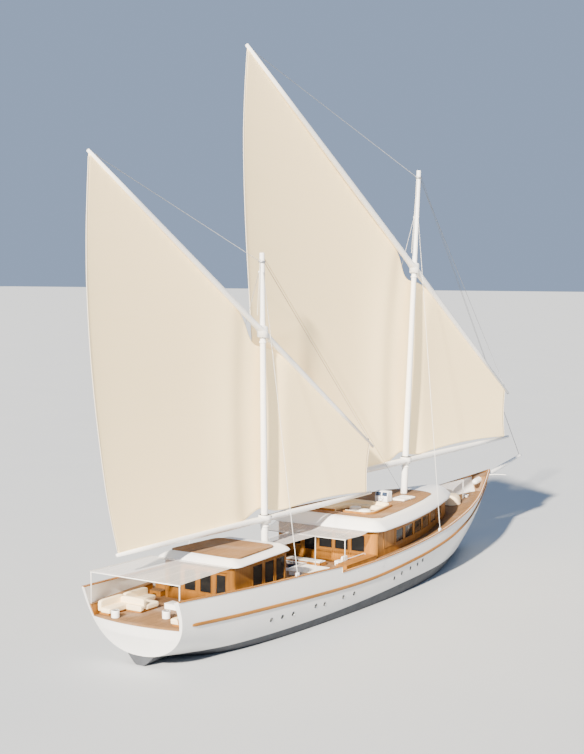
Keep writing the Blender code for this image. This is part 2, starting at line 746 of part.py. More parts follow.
# Rigs in their own plane: forward place u and height v of the yard's peak and heel, the boom's
# aft and forward ends; how far the sail's after edge bows out at shares of its height, how far
# the forward edge is hollow and the cloth bellies to port
RIGS = {
    "mizzen": {"peak": (-9.35, 16.50), "heel": (7.84, 4.45), "clew": (-8.36, 2.56), "tack": (7.63, 2.42),
               "leech": ((0, 0), (0.13, 0.30), (0.27, 0.48), (0.4, 0.58), (0.53, 0.61), (0.67, 0.55),
                         (0.79, 0.41), (0.885, 0.24), (1, 0)),
               "hollow": 0.10, "belly": 0.45, "yard_r": 0.12, "boom_r": 0.13},
    "main": {"peak": (-13.20, 20.25), "heel": (9.99, 6.79), "clew": (-11.25, 2.44), "tack": (10.22, 4.48),
             "leech": ((0, 0), (0.2, 0.06), (0.42, 0.235), (0.6, 0.38), (0.72, 0.41), (0.82, 0.36),
                       (0.92, 0.19), (1, 0)),
             "hollow": 0.12, "belly": 0.75, "yard_r": 0.14, "boom_r": 0.15},
}


class RigPlane:
    """Places in the plane of a rig: u forward, v up the mast's axis, w to port."""

    def __init__(self, mast, trim_deg):
        rake = math.radians(mast["rake"])
        turn = math.radians(trim_deg)
        self.foot = Vector((mast["foot_x"], 0, mast["foot_z"]))
        self.up = Vector((math.sin(rake), 0, math.cos(rake)))
        level = Vector((math.cos(rake), 0, -math.sin(rake)))
        self.forward = level * math.cos(turn) + Vector((0, -1, 0)) * math.sin(turn)
        self.port = self.up.cross(self.forward)

    def at(self, u, v, w=0.0):
        return self.foot + self.forward * u + self.up * v + self.port * w


def mast_radius(mast, v):
    return mast["foot_r"] + (mast["top_r"] - mast["foot_r"]) * v / mast["height"]


def build_mast(name, mast):
    """A tapered mast with a collar under the boom's eye and one under the yard's."""
    plane = RigPlane(mast, 0)
    sections = []
    marks = [(-0.1, 0.0)]
    for piece in ("boom", "yard"):
        low = mast[piece + "_v"] - EYE_HALF[piece] - 0.07
        top = low + 0.07 - SEAT
        marks += [(low - 0.02, 0.0), (low, 0.05), (top, 0.05), (top, 0.0)]
    marks += [(mast["height"], 0.0)]
    for v, collar in marks:
        radius = mast_radius(mast, v) + collar
        sections.append((v / mast["height"], radius, radius))
    return spar(name + "_mast", plane.at(0, 0), plane.at(0, mast["height"]), sections, "spar_white", 20)


# Half height of the eye that the mast passes through, and its wall
EYE_HALF = {"boom": 0.24, "yard": 0.36}
EYE_WALL = 0.08


def spar_sections(length_marks, radius, eye_place, eye_width, tip=0.5):
    """Sections of a yard or boom: tapered to both ends and swollen sideways at the mast's eye."""
    places = sorted(set([0.0, 0.15, 0.35, 0.65, 0.85, 1.0] + [eye_place + d for d in length_marks]))
    sections = []
    for place in places:
        away = abs(place - eye_place) / (eye_place if place < eye_place else 1 - eye_place)
        taper = radius * (1 - (1 - tip) * away ** 2)
        near = math.exp(-((place - eye_place) / (length_marks[-1] * 0.45)) ** 2)
        sections.append((place, taper + (eye_width - taper) * near, taper * (1 + 0.35 * near)))
    return sections


def eye_sections(ends, radius, eye_width, grow=0.0):
    """Sections of a spar between two ends, as seen from the mast that passes through it."""
    (aft_u, aft_v), (fore_u, fore_v) = ends
    length = math.hypot(fore_u - aft_u, fore_v - aft_v)
    marks = [d / length for d in (-1.1, -0.8, -0.5, -0.25, 0.0, 0.25, 0.5, 0.8, 1.1)]
    sections = spar_sections(marks, radius, -aft_u / (fore_u - aft_u), eye_width)
    return [(place, wide + grow, high + grow) for place, wide, high in sections]


def yard_sections(mast, rig, grow=0.0):
    hole = mast_radius(mast, mast["yard_v"] - EYE_HALF["yard"]) + RUNNING
    return eye_sections((rig["peak"], rig["heel"]), rig["yard_r"], hole + EYE_WALL, grow)


def build_rig(name, mast, rig):
    """Yard, boom and sail of one mast, trimmed with the after end to port."""
    plane = RigPlane(mast, TRIM_DEG)
    made = []
    for piece, v_mast, ends, radius in (
            ("yard", mast["yard_v"], (rig["peak"], rig["heel"]), rig["yard_r"]),
            ("boom", mast["boom_v"], (rig["clew"], rig["tack"]), rig["boom_r"])):
        (aft_u, aft_v), (fore_u, fore_v) = ends
        eye = EYE_HALF[piece]
        hole = mast_radius(mast, v_mast - eye) + RUNNING
        sections = eye_sections(ends, radius, hole + EYE_WALL)
        body = spar(f"{name}_{piece}", plane.at(aft_u, aft_v), plane.at(fore_u, fore_v), sections,
                    "spar_white", 14)
        sleeve = rod(f"{name}_{piece}_eye", plane.at(0, v_mast - eye), plane.at(0, v_mast + eye),
                     hole + EYE_WALL, "spar_white", 20)
        bore = rod(f"{name}_{piece}_bore", plane.at(0, v_mast - 1.2), plane.at(0, v_mast + 1.2), hole,
                   "spar_white", 20)
        join(body, sleeve)
        cut(body, bore)
        made.append(body)
    return made


def build_sail(name, mast, rig):
    """The sail: a thin bellied sheet between yard and boom, passing to port of the mast."""
    plane = RigPlane(mast, TRIM_DEG)
    across = 18
    upward = 10
    peak = Vector(rig["peak"])
    heel = Vector(rig["heel"])
    clew = Vector(rig["clew"])
    tack = Vector(rig["tack"])
    along = (heel - peak).normalized()
    below = Vector((along.y, -along.x))
    grid = []
    for i in range(across + 1):
        s = i / across
        head = peak.lerp(heel, 0.003 + 0.982 * s)
        foot = clew.lerp(tack, 0.004 + 0.976 * s)
        yard_drop = rig["yard_r"] * 0.3 + EYE_HALF["yard"] * 1.4 * math.exp(-(head.x / 0.7) ** 2)
        boom_lift = rig["boom_r"] * 0.3 + EYE_HALF["boom"] * 1.4 * math.exp(-(foot.x / 0.7) ** 2)
        if foot.x > 0:
            boom_lift += 0.22 * math.sin(math.pi * min(foot.x / tack.x, 1.0))
        head = head + below * yard_drop
        foot = foot + Vector((0, boom_lift))
        column = []
        for j in range(upward + 1):
            r = j / upward
            point = foot.lerp(head, r)
            edge = math.sin(math.pi * r)
            point.x -= curve_value(rig["leech"], r, 1) * (1 - s) ** 2 + rig["hollow"] * edge * s ** 2
            round_mast = (mast_radius(mast, point.y) + 0.09) * math.exp(-(point.x / 1.3) ** 4)
            belly = rig["belly"] * math.sin(math.pi * s) ** 0.8 * math.sin(math.pi * min(r * 0.9 + 0.05, 1)) ** 0.8
            if point.x > 0:
                belly *= 0.45 + 0.55 * math.exp(-point.x)
            near_mast = 1 - 0.65 * math.exp(-(point.x / 2.0) ** 2)
            column.append((point.x, point.y, max(round_mast, 0.0) + belly * near_mast))
        grid.append(column)
    sail = sail_solid(name + "_sail", plane, grid)
    for spar_name, ends, v_mast, radius in (
            ("yard", (rig["peak"], rig["heel"]), mast["yard_v"], rig["yard_r"]),
            ("boom", (rig["clew"], rig["tack"]), mast["boom_v"], rig["boom_r"])):
        hole = mast_radius(mast, v_mast - EYE_HALF[spar_name]) + RUNNING
        sections = eye_sections(ends, radius, hole + EYE_WALL, SEAT)
        cut(sail, spar(f"{name}_{spar_name}_groove", plane.at(*ends[0]), plane.at(*ends[1]), sections,
                       "sailcloth", 14))
    return sail


def sail_solid(name, plane, grid):
    """A closed sheet of even thickness on a grid of (u, v, w) places."""
    across = len(grid)
    upward = len(grid[0])
    points = []
    for side in (-0.5, 0.5):
        for column in grid:
            for u, v, w in column:
                points.append(plane.at(u, v, w + side * SAIL_THICK))
    faces = []
    back = across * upward
    for i in range(across - 1):
        for j in range(upward - 1):
            a = i * upward + j
            b = a + upward
            faces.append((a, b, b + 1, a + 1))
            faces.append((back + a, back + a + 1, back + b + 1, back + b))
    border = [i * upward for i in range(across)]
    border += [(across - 1) * upward + j for j in range(1, upward)]
    border += [i * upward + upward - 1 for i in range(across - 2, -1, -1)]
    border += [j for j in range(upward - 2, 0, -1)]
    for k, a in enumerate(border):
        b = border[(k + 1) % len(border)]
        faces.append((a, back + a, back + b, b))
    return add_mesh(name, points, faces, "sailcloth", smooth=True)


STAY_R = 0.012


def band(name, mast, plane, v, height=0.08, gap=SEAT):
    """A ring round a mast."""
    inner = mast_radius(mast, v - height / 2) + gap
    ring = rod(name, plane.at(0, v - height / 2), plane.at(0, v + height / 2), inner + 0.035, "stainless", 18)
    hole = rod(name + "_hole", plane.at(0, v - height), plane.at(0, v + height), inner, "stainless", 20)
    return ring, hole


def lug_on_spar(name, start, end, sections, place, length, sides=14):
    """A small upright plate standing on the flat top facet of a spar, and the middle of its top."""
    start = Vector(start)
    end = Vector(end)
    side, up = frame_along(end - start)
    step = length / (end - start).length
    facet = math.cos(math.pi / sides)
    rings = []
    for spot in (place - step / 2, place + step / 2):
        low = max(row for row in sections if row[0] <= spot)
        high = min(row for row in sections if row[0] > spot)
        share = (spot - low[0]) / (high[0] - low[0])
        reach = (low[2] + (high[2] - low[2]) * share) * facet + SEAT
        foot = start.lerp(end, spot) + up * reach
        rings.append([foot - side * 0.011, foot + side * 0.011,
                      foot + side * 0.011 + up * 0.07, foot - side * 0.011 + up * 0.07])
    plate = loft(name, rings, "stainless")
    middle = sum((Vector(p) for ring in rings for p in ring), Vector()) / 8
    return plate, middle


def build_lifts(name, mast, rig):
    """Two wires from a swivel band at the masthead to lugs at the yard's ends."""
    plane = RigPlane(mast, TRIM_DEG)
    v = mast["height"] - 0.35
    ring, hole = band(name + "_lifts", mast, plane, v, gap=0.006)
    peak = plane.at(*rig["peak"])
    heel = plane.at(*rig["heel"])
    for number, place in enumerate((0.02, 0.975)):
        plate, middle = lug_on_spar(f"{name}_lug_{number}", peak, heel, yard_sections(mast, rig), place, 0.12)
        near = plane.at(-0.12 if number == 0 else 0.12, v, 0.003)
        wire = rod(f"{name}_lift_{number}", near, middle, STAY_R, "stainless")
        join(ring, wire)
        join(ring, plate)
    cut(ring, hole)
    return ring


# Shrouds: mast, place and spread of the foot, height of the foot above the cap rail
SHROUD_FEET = {"mizzen": (-8.28, 0.0), "main": (3.65, 0.0)}


def build_shrouds(name, mast):
    """One wire each side, from the mast down to an eye plate on the cap rail."""
    plane = RigPlane(mast, 0)
    foot_x, lift = SHROUD_FEET[name]
    for side, sign in (("port", 1), ("starboard", -1)):
        top_z = sheer_z(foot_x)
        foot_y = half_breadth(foot_x, top_z) - 0.05
        rings = []
        for x in (foot_x - 0.09, foot_x + 0.09):
            low = on_facets(sheer_z, x) + 0.001 + 2 * SEAT
            ys = (sign * foot_y - 0.03, sign * foot_y + 0.03)
            rings.append([(x, ys[0], low), (x, ys[1], low), (x, ys[1], top_z + 0.13), (x, ys[0], top_z + 0.13)])
        plate = loft(f"{name}_shroud_{side}", rings, "stainless")
        v = mast["shroud_v"]
        out = mast_radius(mast, v) + SEAT + 0.0
        foot = Vector((foot_x, sign * foot_y, top_z + 0.1))
        axis_point = plane.at(0, v)
        toward = (foot - axis_point)
        toward -= plane.up * toward.dot(plane.up)
        toward.normalize()
        shoe_low = axis_point + toward * out
        wire = rod(f"{name}_wire_{side}", foot, shoe_low + toward * 0.02, STAY_R, "stainless")
        shoe = rod(f"{name}_shoe_{side}", shoe_low, shoe_low + toward * 0.05, 0.04, "stainless", 10)
        join(plate, wire)
        join(plate, shoe)


def build_mizzen_stay(mast):
    """Stay from the mizzen masthead forward to an eye plate on the main roof, clear of the boom."""
    plane = RigPlane(mast, 0)
    v = mast["height"] - 0.12
    ring, hole = band("mizzen_stay", mast, plane, v)
    foot_x, foot_y = MIZZEN_STAY_FOOT
    top = CEILING_Z + 0.45 + 0.015 + SEAT
    plate = block("mizzen_stay_plate", (foot_x - 0.09, foot_y - 0.03, top), (foot_x + 0.09, foot_y + 0.03, top + 0.12),
                  "stainless")
    wire = rod("mizzen_stay_wire", plane.at(0.122, v, 0.001), (foot_x, foot_y, top + 0.09), STAY_R, "stainless")
    join(ring, wire)
    join(ring, plate)
    cut(ring, hole)


# Foot of the mizzen stay on the main roof deck: place and distance from the middle line
MIZZEN_STAY_FOOT = (4.42, -0.42)


def build_forestay(mast):
    """Bowsprit through the bow, and the forestay from the main masthead to its end."""
    plane = RigPlane(mast, 0)
    inner = Vector((12.9, 0.0, 3.09))
    outer = Vector((18.95, 0.0, 3.87))
    spar("bowsprit", inner, outer, ((0, 0.10, 0.10), (0.012, 0.13, 0.13), (0.25, 0.13, 0.13), (0.97, 0.085, 0.085),
                                    (1, 0.06, 0.06)), "spar_white", 14)
    hole_r = 0.13 + SEAT
    sprit = spar("bowsprit_hole", inner - (outer - inner) * 0.02, inner.lerp(outer, 0.5),
                 ((0, hole_r, hole_r), (1, hole_r, hole_r)), "spar_white", 14)
    v = mast["height"] - 0.12
    ring, hole = band("forestay", mast, plane, v)
    near = plane.at(0.122, v, 0.001)
    far = inner.lerp(outer, 0.985) + Vector((0, 0, 0.0715))
    wire = rod("forestay_wire", near, far + Vector((0, 0, 0.01)), STAY_R, "stainless")
    join(ring, wire)
    cut(ring, hole)
    return sprit


def cloth_sheet(name, corners, sag, thick=0.012, across=8, deep=4):
    """A thin cloth roof over four corners (aft port, aft starboard, fore starboard, fore port)."""
    aft_port, aft_star, fore_star, fore_port = [Vector(c) for c in corners]
    top = []
    for i in range(deep + 1):
        s = i / deep
        for j in range(across + 1):
            t = j / across
            point = aft_port.lerp(aft_star, t).lerp(fore_port.lerp(fore_star, t), s)
            drop = sag * math.sin(math.pi * s) * (0.4 + 0.6 * math.sin(math.pi * t))
            top.append(point + Vector((0, 0, -drop)))
    points = top + [p + Vector((0, 0, -thick)) for p in top]
    row = across + 1
    under = len(top)
    faces = []
    for i in range(deep):
        for j in range(across):
            a = i * row + j
            faces.append((a, a + 1, a + row + 1, a + row))
            faces.append((under + a, under + a + row, under + a + row + 1, under + a + 1))
    border = list(range(row)) + [i * row + across for i in range(1, deep + 1)]
    border += [deep * row + j for j in range(across - 1, -1, -1)] + [i * row for i in range(deep - 1, 0, -1)]
    for k, a in enumerate(border):
        b = border[(k + 1) % len(border)]
        faces.append((a, under + a, under + b, b))
    return add_mesh(name, points, faces, "awning_cloth", smooth=True)


POST_R = 0.02
# Height of a cloth's upper side above the axis of the bar that it lies on
BAR_TOP = POST_R * math.cos(math.pi / 10) + 0.012 + SEAT


def post_frame(name, x, posts, top_z):
    """Posts, each with its place across and the height of its foot, under one cross bar."""
    ys = [y for y, foot_z in posts]
    bar = rod(name, (x, min(ys) - 0.03, top_z), (x, max(ys) + 0.03, top_z), POST_R, "stainless", 10)
    for number, (y, foot_z) in enumerate(posts):
        join(bar, rod(f"{name}_post_{number}", (x, y, foot_z), (x, y, top_z), POST_R, "stainless", 10))
    return bar


def cloth_plate(name, outline, height):
    """A flat cloth on an outline of (x, y) points; height gives its underside from the place."""
    rings = [[(x, y, height(x) + lift) for x, y in outline] for lift in (0.0, 0.012)]
    return loft(name, rings, "awning_cloth")


# Cloth over the middle deck: a strip from the mizzen mast and a wide part up to the main roof
MIDDLE_CLOTH = (
    (-6.33, 0.62), (-3.80, 0.72), (-3.80, 2.12), (-2.28, 2.30), (-2.28, -2.30), (-3.80, -2.12),
    (-3.80, -0.72), (-6.33, -0.62),
)
# Cloth over the foredeck: from the roof's nose to one post
FORE_CLOTH = (
    (8.30, 0.98), (8.66, 0.86), (8.96, 0.55), (9.10, 0.2), (9.10, -0.2), (8.96, -0.55), (8.66, -0.86),
    (8.30, -0.98), (11.66, -0.06), (11.66, 0.06),
)
FORE_POST_X = 11.6
LOCKER_TOP = 2.1
FORE_POST_TOP = 3.38


def build_awnings():
    """Cloth roofs over the aft deck, the middle deck and the foredeck."""
    bar = 3.155
    foot = LEDGE_TOP + SEAT
    post_frame("aft_awning_frame", -14.68, ((-1.985, foot), (1.985, foot)), bar)
    z = bar + BAR_TOP
    cloth_sheet("aft_awning", ((-14.74, 2.03, z), (-14.74, -2.03, z), (-11.34, -1.9, z),
                               (-11.34, 1.9, z)), 0.0)
    deck = DECK_Z + SEAT
    locker = LOCKER_TOP + SEAT
    post_frame("middle_awning_frame", -3.75, ((-2.06, locker), (-0.64, deck), (2.06, locker)), 2.98)
    z = 2.98 + BAR_TOP - 0.012
    cloth_plate("middle_awning", MIDDLE_CLOTH, lambda x: z)
    foot = on_facets(fore_deck_z, FORE_POST_X) + 0.0022
    rod("fore_awning_post", (FORE_POST_X, 0, foot), (FORE_POST_X, 0, FORE_POST_TOP), 0.028, "stainless", 12)
    slope = 0.05
    cloth_plate("fore_awning", FORE_CLOTH,
                lambda x: FORE_POST_TOP + SEAT + 0.028 * slope + (x - FORE_POST_X) * slope)


def soft_box(name, low, high, look, edge=0.04):
    """A box with eased upper edges."""
    (x0, y0, z0), (x1, y1, z1) = low, high
    rings = []
    for inward, z in ((0, z0), (0, z1 - edge), (edge * 0.3, z1 - edge * 0.3), (edge, z1)):
        rings.append([(x0 + inward, y0 + inward, z), (x1 - inward, y0 + inward, z), (x1 - inward, y1 - inward, z),
                      (x0 + inward, y1 - inward, z)])
    return loft(name, rings, look)


def build_furniture():
    """What stands on the decks, as plain closed solids."""
    floor = DECK_Z + SEAT
    # Long seat along the port ledge, and a seat across the deck with its back aft
    sofa = soft_box("aft_sofa", (-14.45, 1.36, floor), (-11.75, 1.84, DECK_Z + 0.27), "cushion")
    join(sofa, soft_box("sofa_port_back", (-14.45, 1.74, floor + 0.01), (-11.75, 1.90, DECK_Z + 0.50), "cushion"))
    join(sofa, soft_box("sofa_cross_seat", (-13.52, 0.62, floor), (-12.47, 1.5, DECK_Z + 0.265), "cushion"))
    join(sofa, soft_box("sofa_cross_back", (-13.38, 0.64, floor + 0.01), (-13.20, 1.8, DECK_Z + 0.47), "cushion"))
    soft_box("aft_coffee_table", (-12.5, -0.3, floor), (-12.02, 0.4, DECK_Z + 0.25), "roof_white")
    chair = soft_box("aft_chair", (-14.30, -1.80, floor), (-13.62, -1.26, DECK_Z + 0.27), "cushion")
    join(chair, soft_box("aft_chair_back", (-14.30, -1.92, floor + 0.01), (-13.62, -1.70, DECK_Z + 0.50), "cushion"))
    soft_box("middle_sun_bed", (-5.2, -1.47, floor), (-3.83, -0.25, DECK_Z + 0.22), "cushion")
    pool = block("middle_pool", (-4.6, 0.12, floor), (-3.06, 1.28, DECK_Z + 0.1), "varnished_wood")
    join(pool, block("middle_bench", (-3.2, -0.55, floor + 0.001), (-2.72, 1.2, DECK_Z + 0.2), "varnished_wood"))
    basin = block("pool_basin", (-4.5, 0.22, DECK_Z + 0.03), (-3.3, 1.18, DECK_Z + 1), "pool_lining")
    cut(pool, basin)
    for side, sign in (("port", 1), ("starboard", -1)):
        ys = sorted((sign * 2.03, sign * 2.55))
        block("side_locker_" + side, (-4.43, ys[0], floor), (-1.96, ys[1], LOCKER_TOP), "varnished_wood")
    # Domed foredeck locker
    centre_x, half_x, half_y = 10.3, 0.5, 0.44
    rings = []
    for share, height in ((1.0, 0.0), (1.0, 0.1), (0.93, 0.24), (0.78, 0.36), (0.52, 0.45), (0.22, 0.49)):
        ring = []
        for a in np.linspace(0, 2 * math.pi, 17)[:-1]:
            x = centre_x + half_x * share * math.cos(a)
            ring.append((x, half_y * share * math.sin(a), on_facets(fore_deck_z, x) + 0.001 + height))
        rings.append(ring)
    loft("foredeck_dome", rings, "cushion", smooth=True)


def propeller(name, y):
    """A four-bladed propeller with its boss on the shaft's axis."""
    boss = spar(name, (PROP_X - 0.22, y, SHAFT_Z), (PROP_X + 0.1, y, SHAFT_Z),
                ((0, 0.03, 0.03), (0.3, 0.075, 0.075), (1, 0.085, 0.085)), "bronze", 16)
    for blade in range(4):
        turn = math.pi / 2 * blade
        rings = []
        for share, chord, pitch in ((0.1, 0.10, 55), (0.35, 0.2, 45), (0.65, 0.26, 35), (0.9, 0.2, 28),
                                    (1.0, 0.08, 25)):
            radius = PROP_RADIUS * share
            lean = math.radians(pitch)
            thick = 0.016 * (1.2 - share * 0.7)
            ring = []
            for a, b in ((-0.5, 0), (0, 1), (0.5, 0), (0, -1)):
                along = a * chord * math.sin(lean) + b * thick * math.cos(lean)
                across = a * chord * math.cos(lean) - b * thick * math.sin(lean)
                ring.append((PROP_X + along,
                             y + radius * math.cos(turn) - across * math.sin(turn),
                             SHAFT_Z + radius * math.sin(turn) + across * math.cos(turn)))
            rings.append(ring)
        join(boss, loft(f"{name}_blade_{blade}", rings, "bronze"))
    boss.location = (0, 0, 0)
    return boss


def build_drive(hull):
    """Shafts and their brackets, which are part of the hull, propellers and rudder."""
    for side, sign in (("port", 1), ("starboard", -1)):
        y = sign * SHAFT_Y
        tube = rod("shaft_" + side, (PROP_X + 0.1 + SEAT, y, SHAFT_Z), (-4.0, y, SHAFT_Z), 0.05, "stainless", 14)
        x = PROP_X + 0.35
        rings = []
        for share in (0.0, 1.0):
            z = SHAFT_Z + share * 1.3
            lean = y - sign * 0.15 * share
            rings.append([(x - 0.14, lean, z), (x, lean + 0.025, z), (x + 0.14, lean, z), (x, lean - 0.025, z)])
        join(hull, tube)
        join(hull, loft("bracket_" + side, rings, "stainless"))
        propeller("propeller_" + side, y)
    outline = [(-14.22, 0.0), (-14.22, -1.5), (-13.95, -1.82), (-13.2, -1.82), (-13.18, -0.4), (-13.18, 0.0)]
    half = 0.07
    profile = []
    for x, z in outline:
        profile.append((x, z))
    points = [(x, half if x > -13.9 else 0.02, z) for x, z in profile]
    points += [(x, -half if x > -13.9 else -0.02, z) for x, z in profile]
    count = len(profile)
    faces = [tuple(range(count)), tuple(range(2 * count - 1, count - 1, -1))]
    for k in range(count):
        n = (k + 1) % count
        faces.append((k, count + k, count + n, n))
    blade = add_mesh("rudder", points, faces, "bottom_grey")
    stock = rod("rudder_stock", (RUDDER_X, 0, -0.6), (RUDDER_X, 0, 0.6 - SEAT), 0.06, "stainless", 24)
    join(blade, stock)


def seat_mast(mast, floor):
    """Cuts a mast's foot level with the floor that it stands on."""
    tool = block(mast.name + "_floor", (-20, -3, floor - 3), (20, 3, floor + SEAT), "spar_white")
    cut(mast, tool)


def main():
    for item in list(bpy.data.objects):
        bpy.data.objects.remove(item, do_unlink=True)
    hull, skin, fore = build_hull()
    aft_roof, main_roof, roof_deck = build_houses(hull, fore)
    build_cockpit(main_roof, roof_deck)
    for name, mast in MASTS.items():
        seat_mast(build_mast(name, mast), DECK_Z if name == "mizzen" else DECK_Z - DECK_THICK - SEAT)
        yard, boom = build_rig(name, mast, RIGS[name])
        build_sail(name, mast, RIGS[name])
        build_lifts(name, mast, RIGS[name])
        build_shrouds(name, mast)
    # The main mast stands through its roof, on the floor of the house
    plane = RigPlane(MASTS["main"], 0)
    hole = rod("mast_partner", plane.at(0, 0.5), plane.at(0, 3.0), mast_radius(MASTS["main"], 1.5) + 0.006,
               "roof_white", 20)
    cut(main_roof, hole)
    cut(roof_deck, hole)
    build_mizzen_stay(MASTS["mizzen"])
    sprit = build_forestay(MASTS["main"])
    for solid in (hull, bpy.data.objects["stem_cap"], bpy.data.objects["bulwark_port"],
                  bpy.data.objects["bulwark_starboard"]):
        cut(solid, sprit)
    build_awnings()
    build_furniture()
    build_drive(hull)
    # The rudder's stock turns in a hole in the hull
    trunk = rod("rudder_trunk", (RUDDER_X, 0, -0.3), (RUDDER_X, 0, 0.6), 0.0612, "hull_white", 24)
    cut(hull, trunk)


main()
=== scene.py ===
"""Two-masted sailing dhow, dressed on its fixed frame.

X points to the bow, Y to port and Z up, in metres of the half-size model, with the waterline at
zero height. Each operator makes one group of pieces from the formulas in its functions' notes.
"""
import math

import bmesh
import bpy
import numpy as np
from mathutils import Matrix, Vector


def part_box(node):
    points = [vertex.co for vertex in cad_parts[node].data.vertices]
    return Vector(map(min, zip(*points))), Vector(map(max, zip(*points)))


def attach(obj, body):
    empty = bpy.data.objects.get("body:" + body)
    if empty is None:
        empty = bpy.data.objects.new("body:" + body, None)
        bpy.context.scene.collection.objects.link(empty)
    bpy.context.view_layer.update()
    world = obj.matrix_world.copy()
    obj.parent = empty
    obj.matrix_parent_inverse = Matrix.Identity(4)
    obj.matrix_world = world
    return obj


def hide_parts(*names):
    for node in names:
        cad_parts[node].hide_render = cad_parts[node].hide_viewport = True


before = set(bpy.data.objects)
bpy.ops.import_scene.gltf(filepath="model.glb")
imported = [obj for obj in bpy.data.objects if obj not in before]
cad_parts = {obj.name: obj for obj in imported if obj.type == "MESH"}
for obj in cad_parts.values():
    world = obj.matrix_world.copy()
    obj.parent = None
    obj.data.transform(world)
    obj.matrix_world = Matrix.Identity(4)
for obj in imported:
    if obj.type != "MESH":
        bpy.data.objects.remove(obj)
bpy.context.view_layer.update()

bl_info = {
    "name": "Sailing Dhow",
    "version": (1, 0, 0),
    "blender": (4, 5, 0),
    "location": "3D View > Sidebar > Dhow",
    "description": "Dresses a two-masted sailing dhow on its fixed frame",
    "category": "Object",
}


# Sizes that are shared with the frame

STERN_X = -14.41
STEM_X = 14.84
STEM_BLOCK_X = 13.5
RAIL_TURN_X = 14.5
SKEG_END_X = -13.05
SKEG_START_X = 7.2
SHEER_STEP_X = -5.22
FORE_DECK_START_X = -1.86
WALL = 0.09
DECK_Z = 1.58
HOUSE_WALL = 0.06
HOUSE_CORNER = 0.22
CEILING_Z = 3.08
AFT_RISE = 0.28
MAIN_RISE = 0.45
MAIN_TOP = CEILING_Z + MAIN_RISE
LEDGE_TOP = 2.0
STEP_HALF = 0.006
DECK_BED = 0.03
STRAKE_END_X = 13.45
SHAFT_Y, SHAFT_Z = 1.05, -0.92
SIDES = (("port", 1), ("starboard", -1))

# Place along the hull, half breadth at the rail, height of the rail, height of the body's
# bottom, and two numbers for how full a section is
HULL_LINES = (
    (-14.41, 2.165, 2.68, 0.36, 2.70, 0.45),
    (-13.00, 2.37, 2.59, 0.10, 2.66, 0.47),
    (-11.00, 2.55, 2.50, -0.48, 2.60, 0.49),
    (-8.00, 2.72, 2.39, -1.05, 2.56, 0.51),
    (-4.00, 2.85, 2.22, -1.36, 2.55, 0.51),
    (0.00, 2.87, 2.14, -1.40, 2.55, 0.51),
    (4.00, 2.70, 2.28, -1.28, 2.30, 0.58),
    (7.00, 2.32, 2.58, -0.92, 1.95, 0.70),
    (9.00, 1.92, 2.80, -0.42, 1.70, 0.80),
    (10.50, 1.52, 2.98, 0.06, 1.55, 0.86),
    (12.00, 1.02, 3.16, 0.70, 1.45, 0.90),
    (13.40, 0.54, 3.36, 1.80, 1.40, 0.90),
    (14.30, 0.22, 3.50, 2.80, 1.40, 0.90),
    (14.90, 0.06, 3.58, 3.54, 1.40, 0.90),
)
# Place along the hull, then a height or a half breadth
STRAKE_LINE = (
    (-14.1, 1.70), (-12.3, 1.615), (-10.0, 1.525), (-6.75, 1.395), (-3.75, 1.31), (-2.1, 1.32),
    (1.57, 1.485), (3.75, 1.645), (5.7, 1.82), (8.25, 2.18), (10.1, 2.59), (12.25, 2.90), (13.5, 3.12),
)
# Place along the hull, depth and half thickness
KEEL_LINE = (
    (-13.05, 1.92, 0.10), (-9.0, 2.00, 0.16), (2.0, 1.86, 0.16), (5.0, 1.60, 0.14), (7.2, 1.06, 0.08),
)
FORE_DECK_LINE = (
    (-1.86, 1.93), (2.0, 1.98), (5.0, 2.06), (7.5, 2.17), (9.5, 2.29), (11.6, 2.42), (13.5, 2.54),
)
LEDGE_LINE = ((-14.4, 1.93), (-13.2, 1.99), (-11.7, 2.14), (-10.3, 2.27))

# Plans: place along the hull and half breadth
AFT_HOUSE = ((-11.0, 1.62), (-7.05, 1.44))
AFT_ROOF = ((-11.28, 1.93), (-6.88, 1.62))
MAIN_HOUSE = ((-1.9, 2.48), (0.9, 2.30), (3.65, 1.88), (5.5, 1.46), (7.3, 1.0), (8.35, 0.6))
MAIN_ROOF = ((-2.22, 2.84), (0.9, 2.62), (3.65, 2.18), (5.5, 1.76), (7.3, 1.28), (8.3, 0.9))
AFT_ROOF_DECK = ((-10.75, 1.60), (-7.8, 1.38))
MAIN_ROOF_DECK = ((-1.5, 2.33), (0.9, 2.11), (3.65, 1.67), (5.55, 1.23))
COCKPIT = ((-0.84, 1.60), (0.2, 1.47), (1.93, 1.17))
COCKPIT_WELL = ((-0.44, 1.18), (0.2, 1.06), (1.52, 0.80))
COCKPIT_FLOOR = CEILING_Z + 0.2
ENTRANCE_Y = -0.07
# Place, place across and radius of each low table
COCKPIT_TABLES = ((0.42, -0.03, 0.25), (0.70, -0.43, 0.27), (1.08, 0.26, 0.26))

# Windows: side (s both long walls, a the aft wall), centre, width, sill, head
AFT_WINDOWS = (
    ("s", -9.32, 0.66, 2.00, 2.88), ("s", -8.47, 0.64, 2.00, 2.88), ("s", -7.66, 0.62, 2.00, 2.88),
    ("a", 1.06, 0.50, 2.00, 2.78), ("a", 0.36, 0.50, 2.00, 2.78), ("a", -0.36, 0.50, 2.00, 2.78),
)
MAIN_WINDOWS = (
    ("s", 0.43, 0.74, 2.30, 2.84), ("s", 1.50, 0.94, 2.31, 2.84), ("s", 2.70, 0.92, 2.32, 2.85),
    ("s", 3.87, 0.98, 2.33, 2.85), ("s", 5.21, 0.94, 2.36, 2.86), ("s", 6.38, 0.86, 2.42, 2.86),
    ("a", -1.60, 0.64, 2.15, 2.84), ("a", -0.80, 0.64, 2.15, 2.84), ("a", 0.0, 0.64, 2.15, 2.84),
    ("a", 1.60, 0.64, 2.15, 2.84),
)
# Door openings: centre across, width, head
AFT_DOOR = (-1.06, 0.50, 2.80)
MAIN_DOOR = (0.80, 0.62, 2.84)

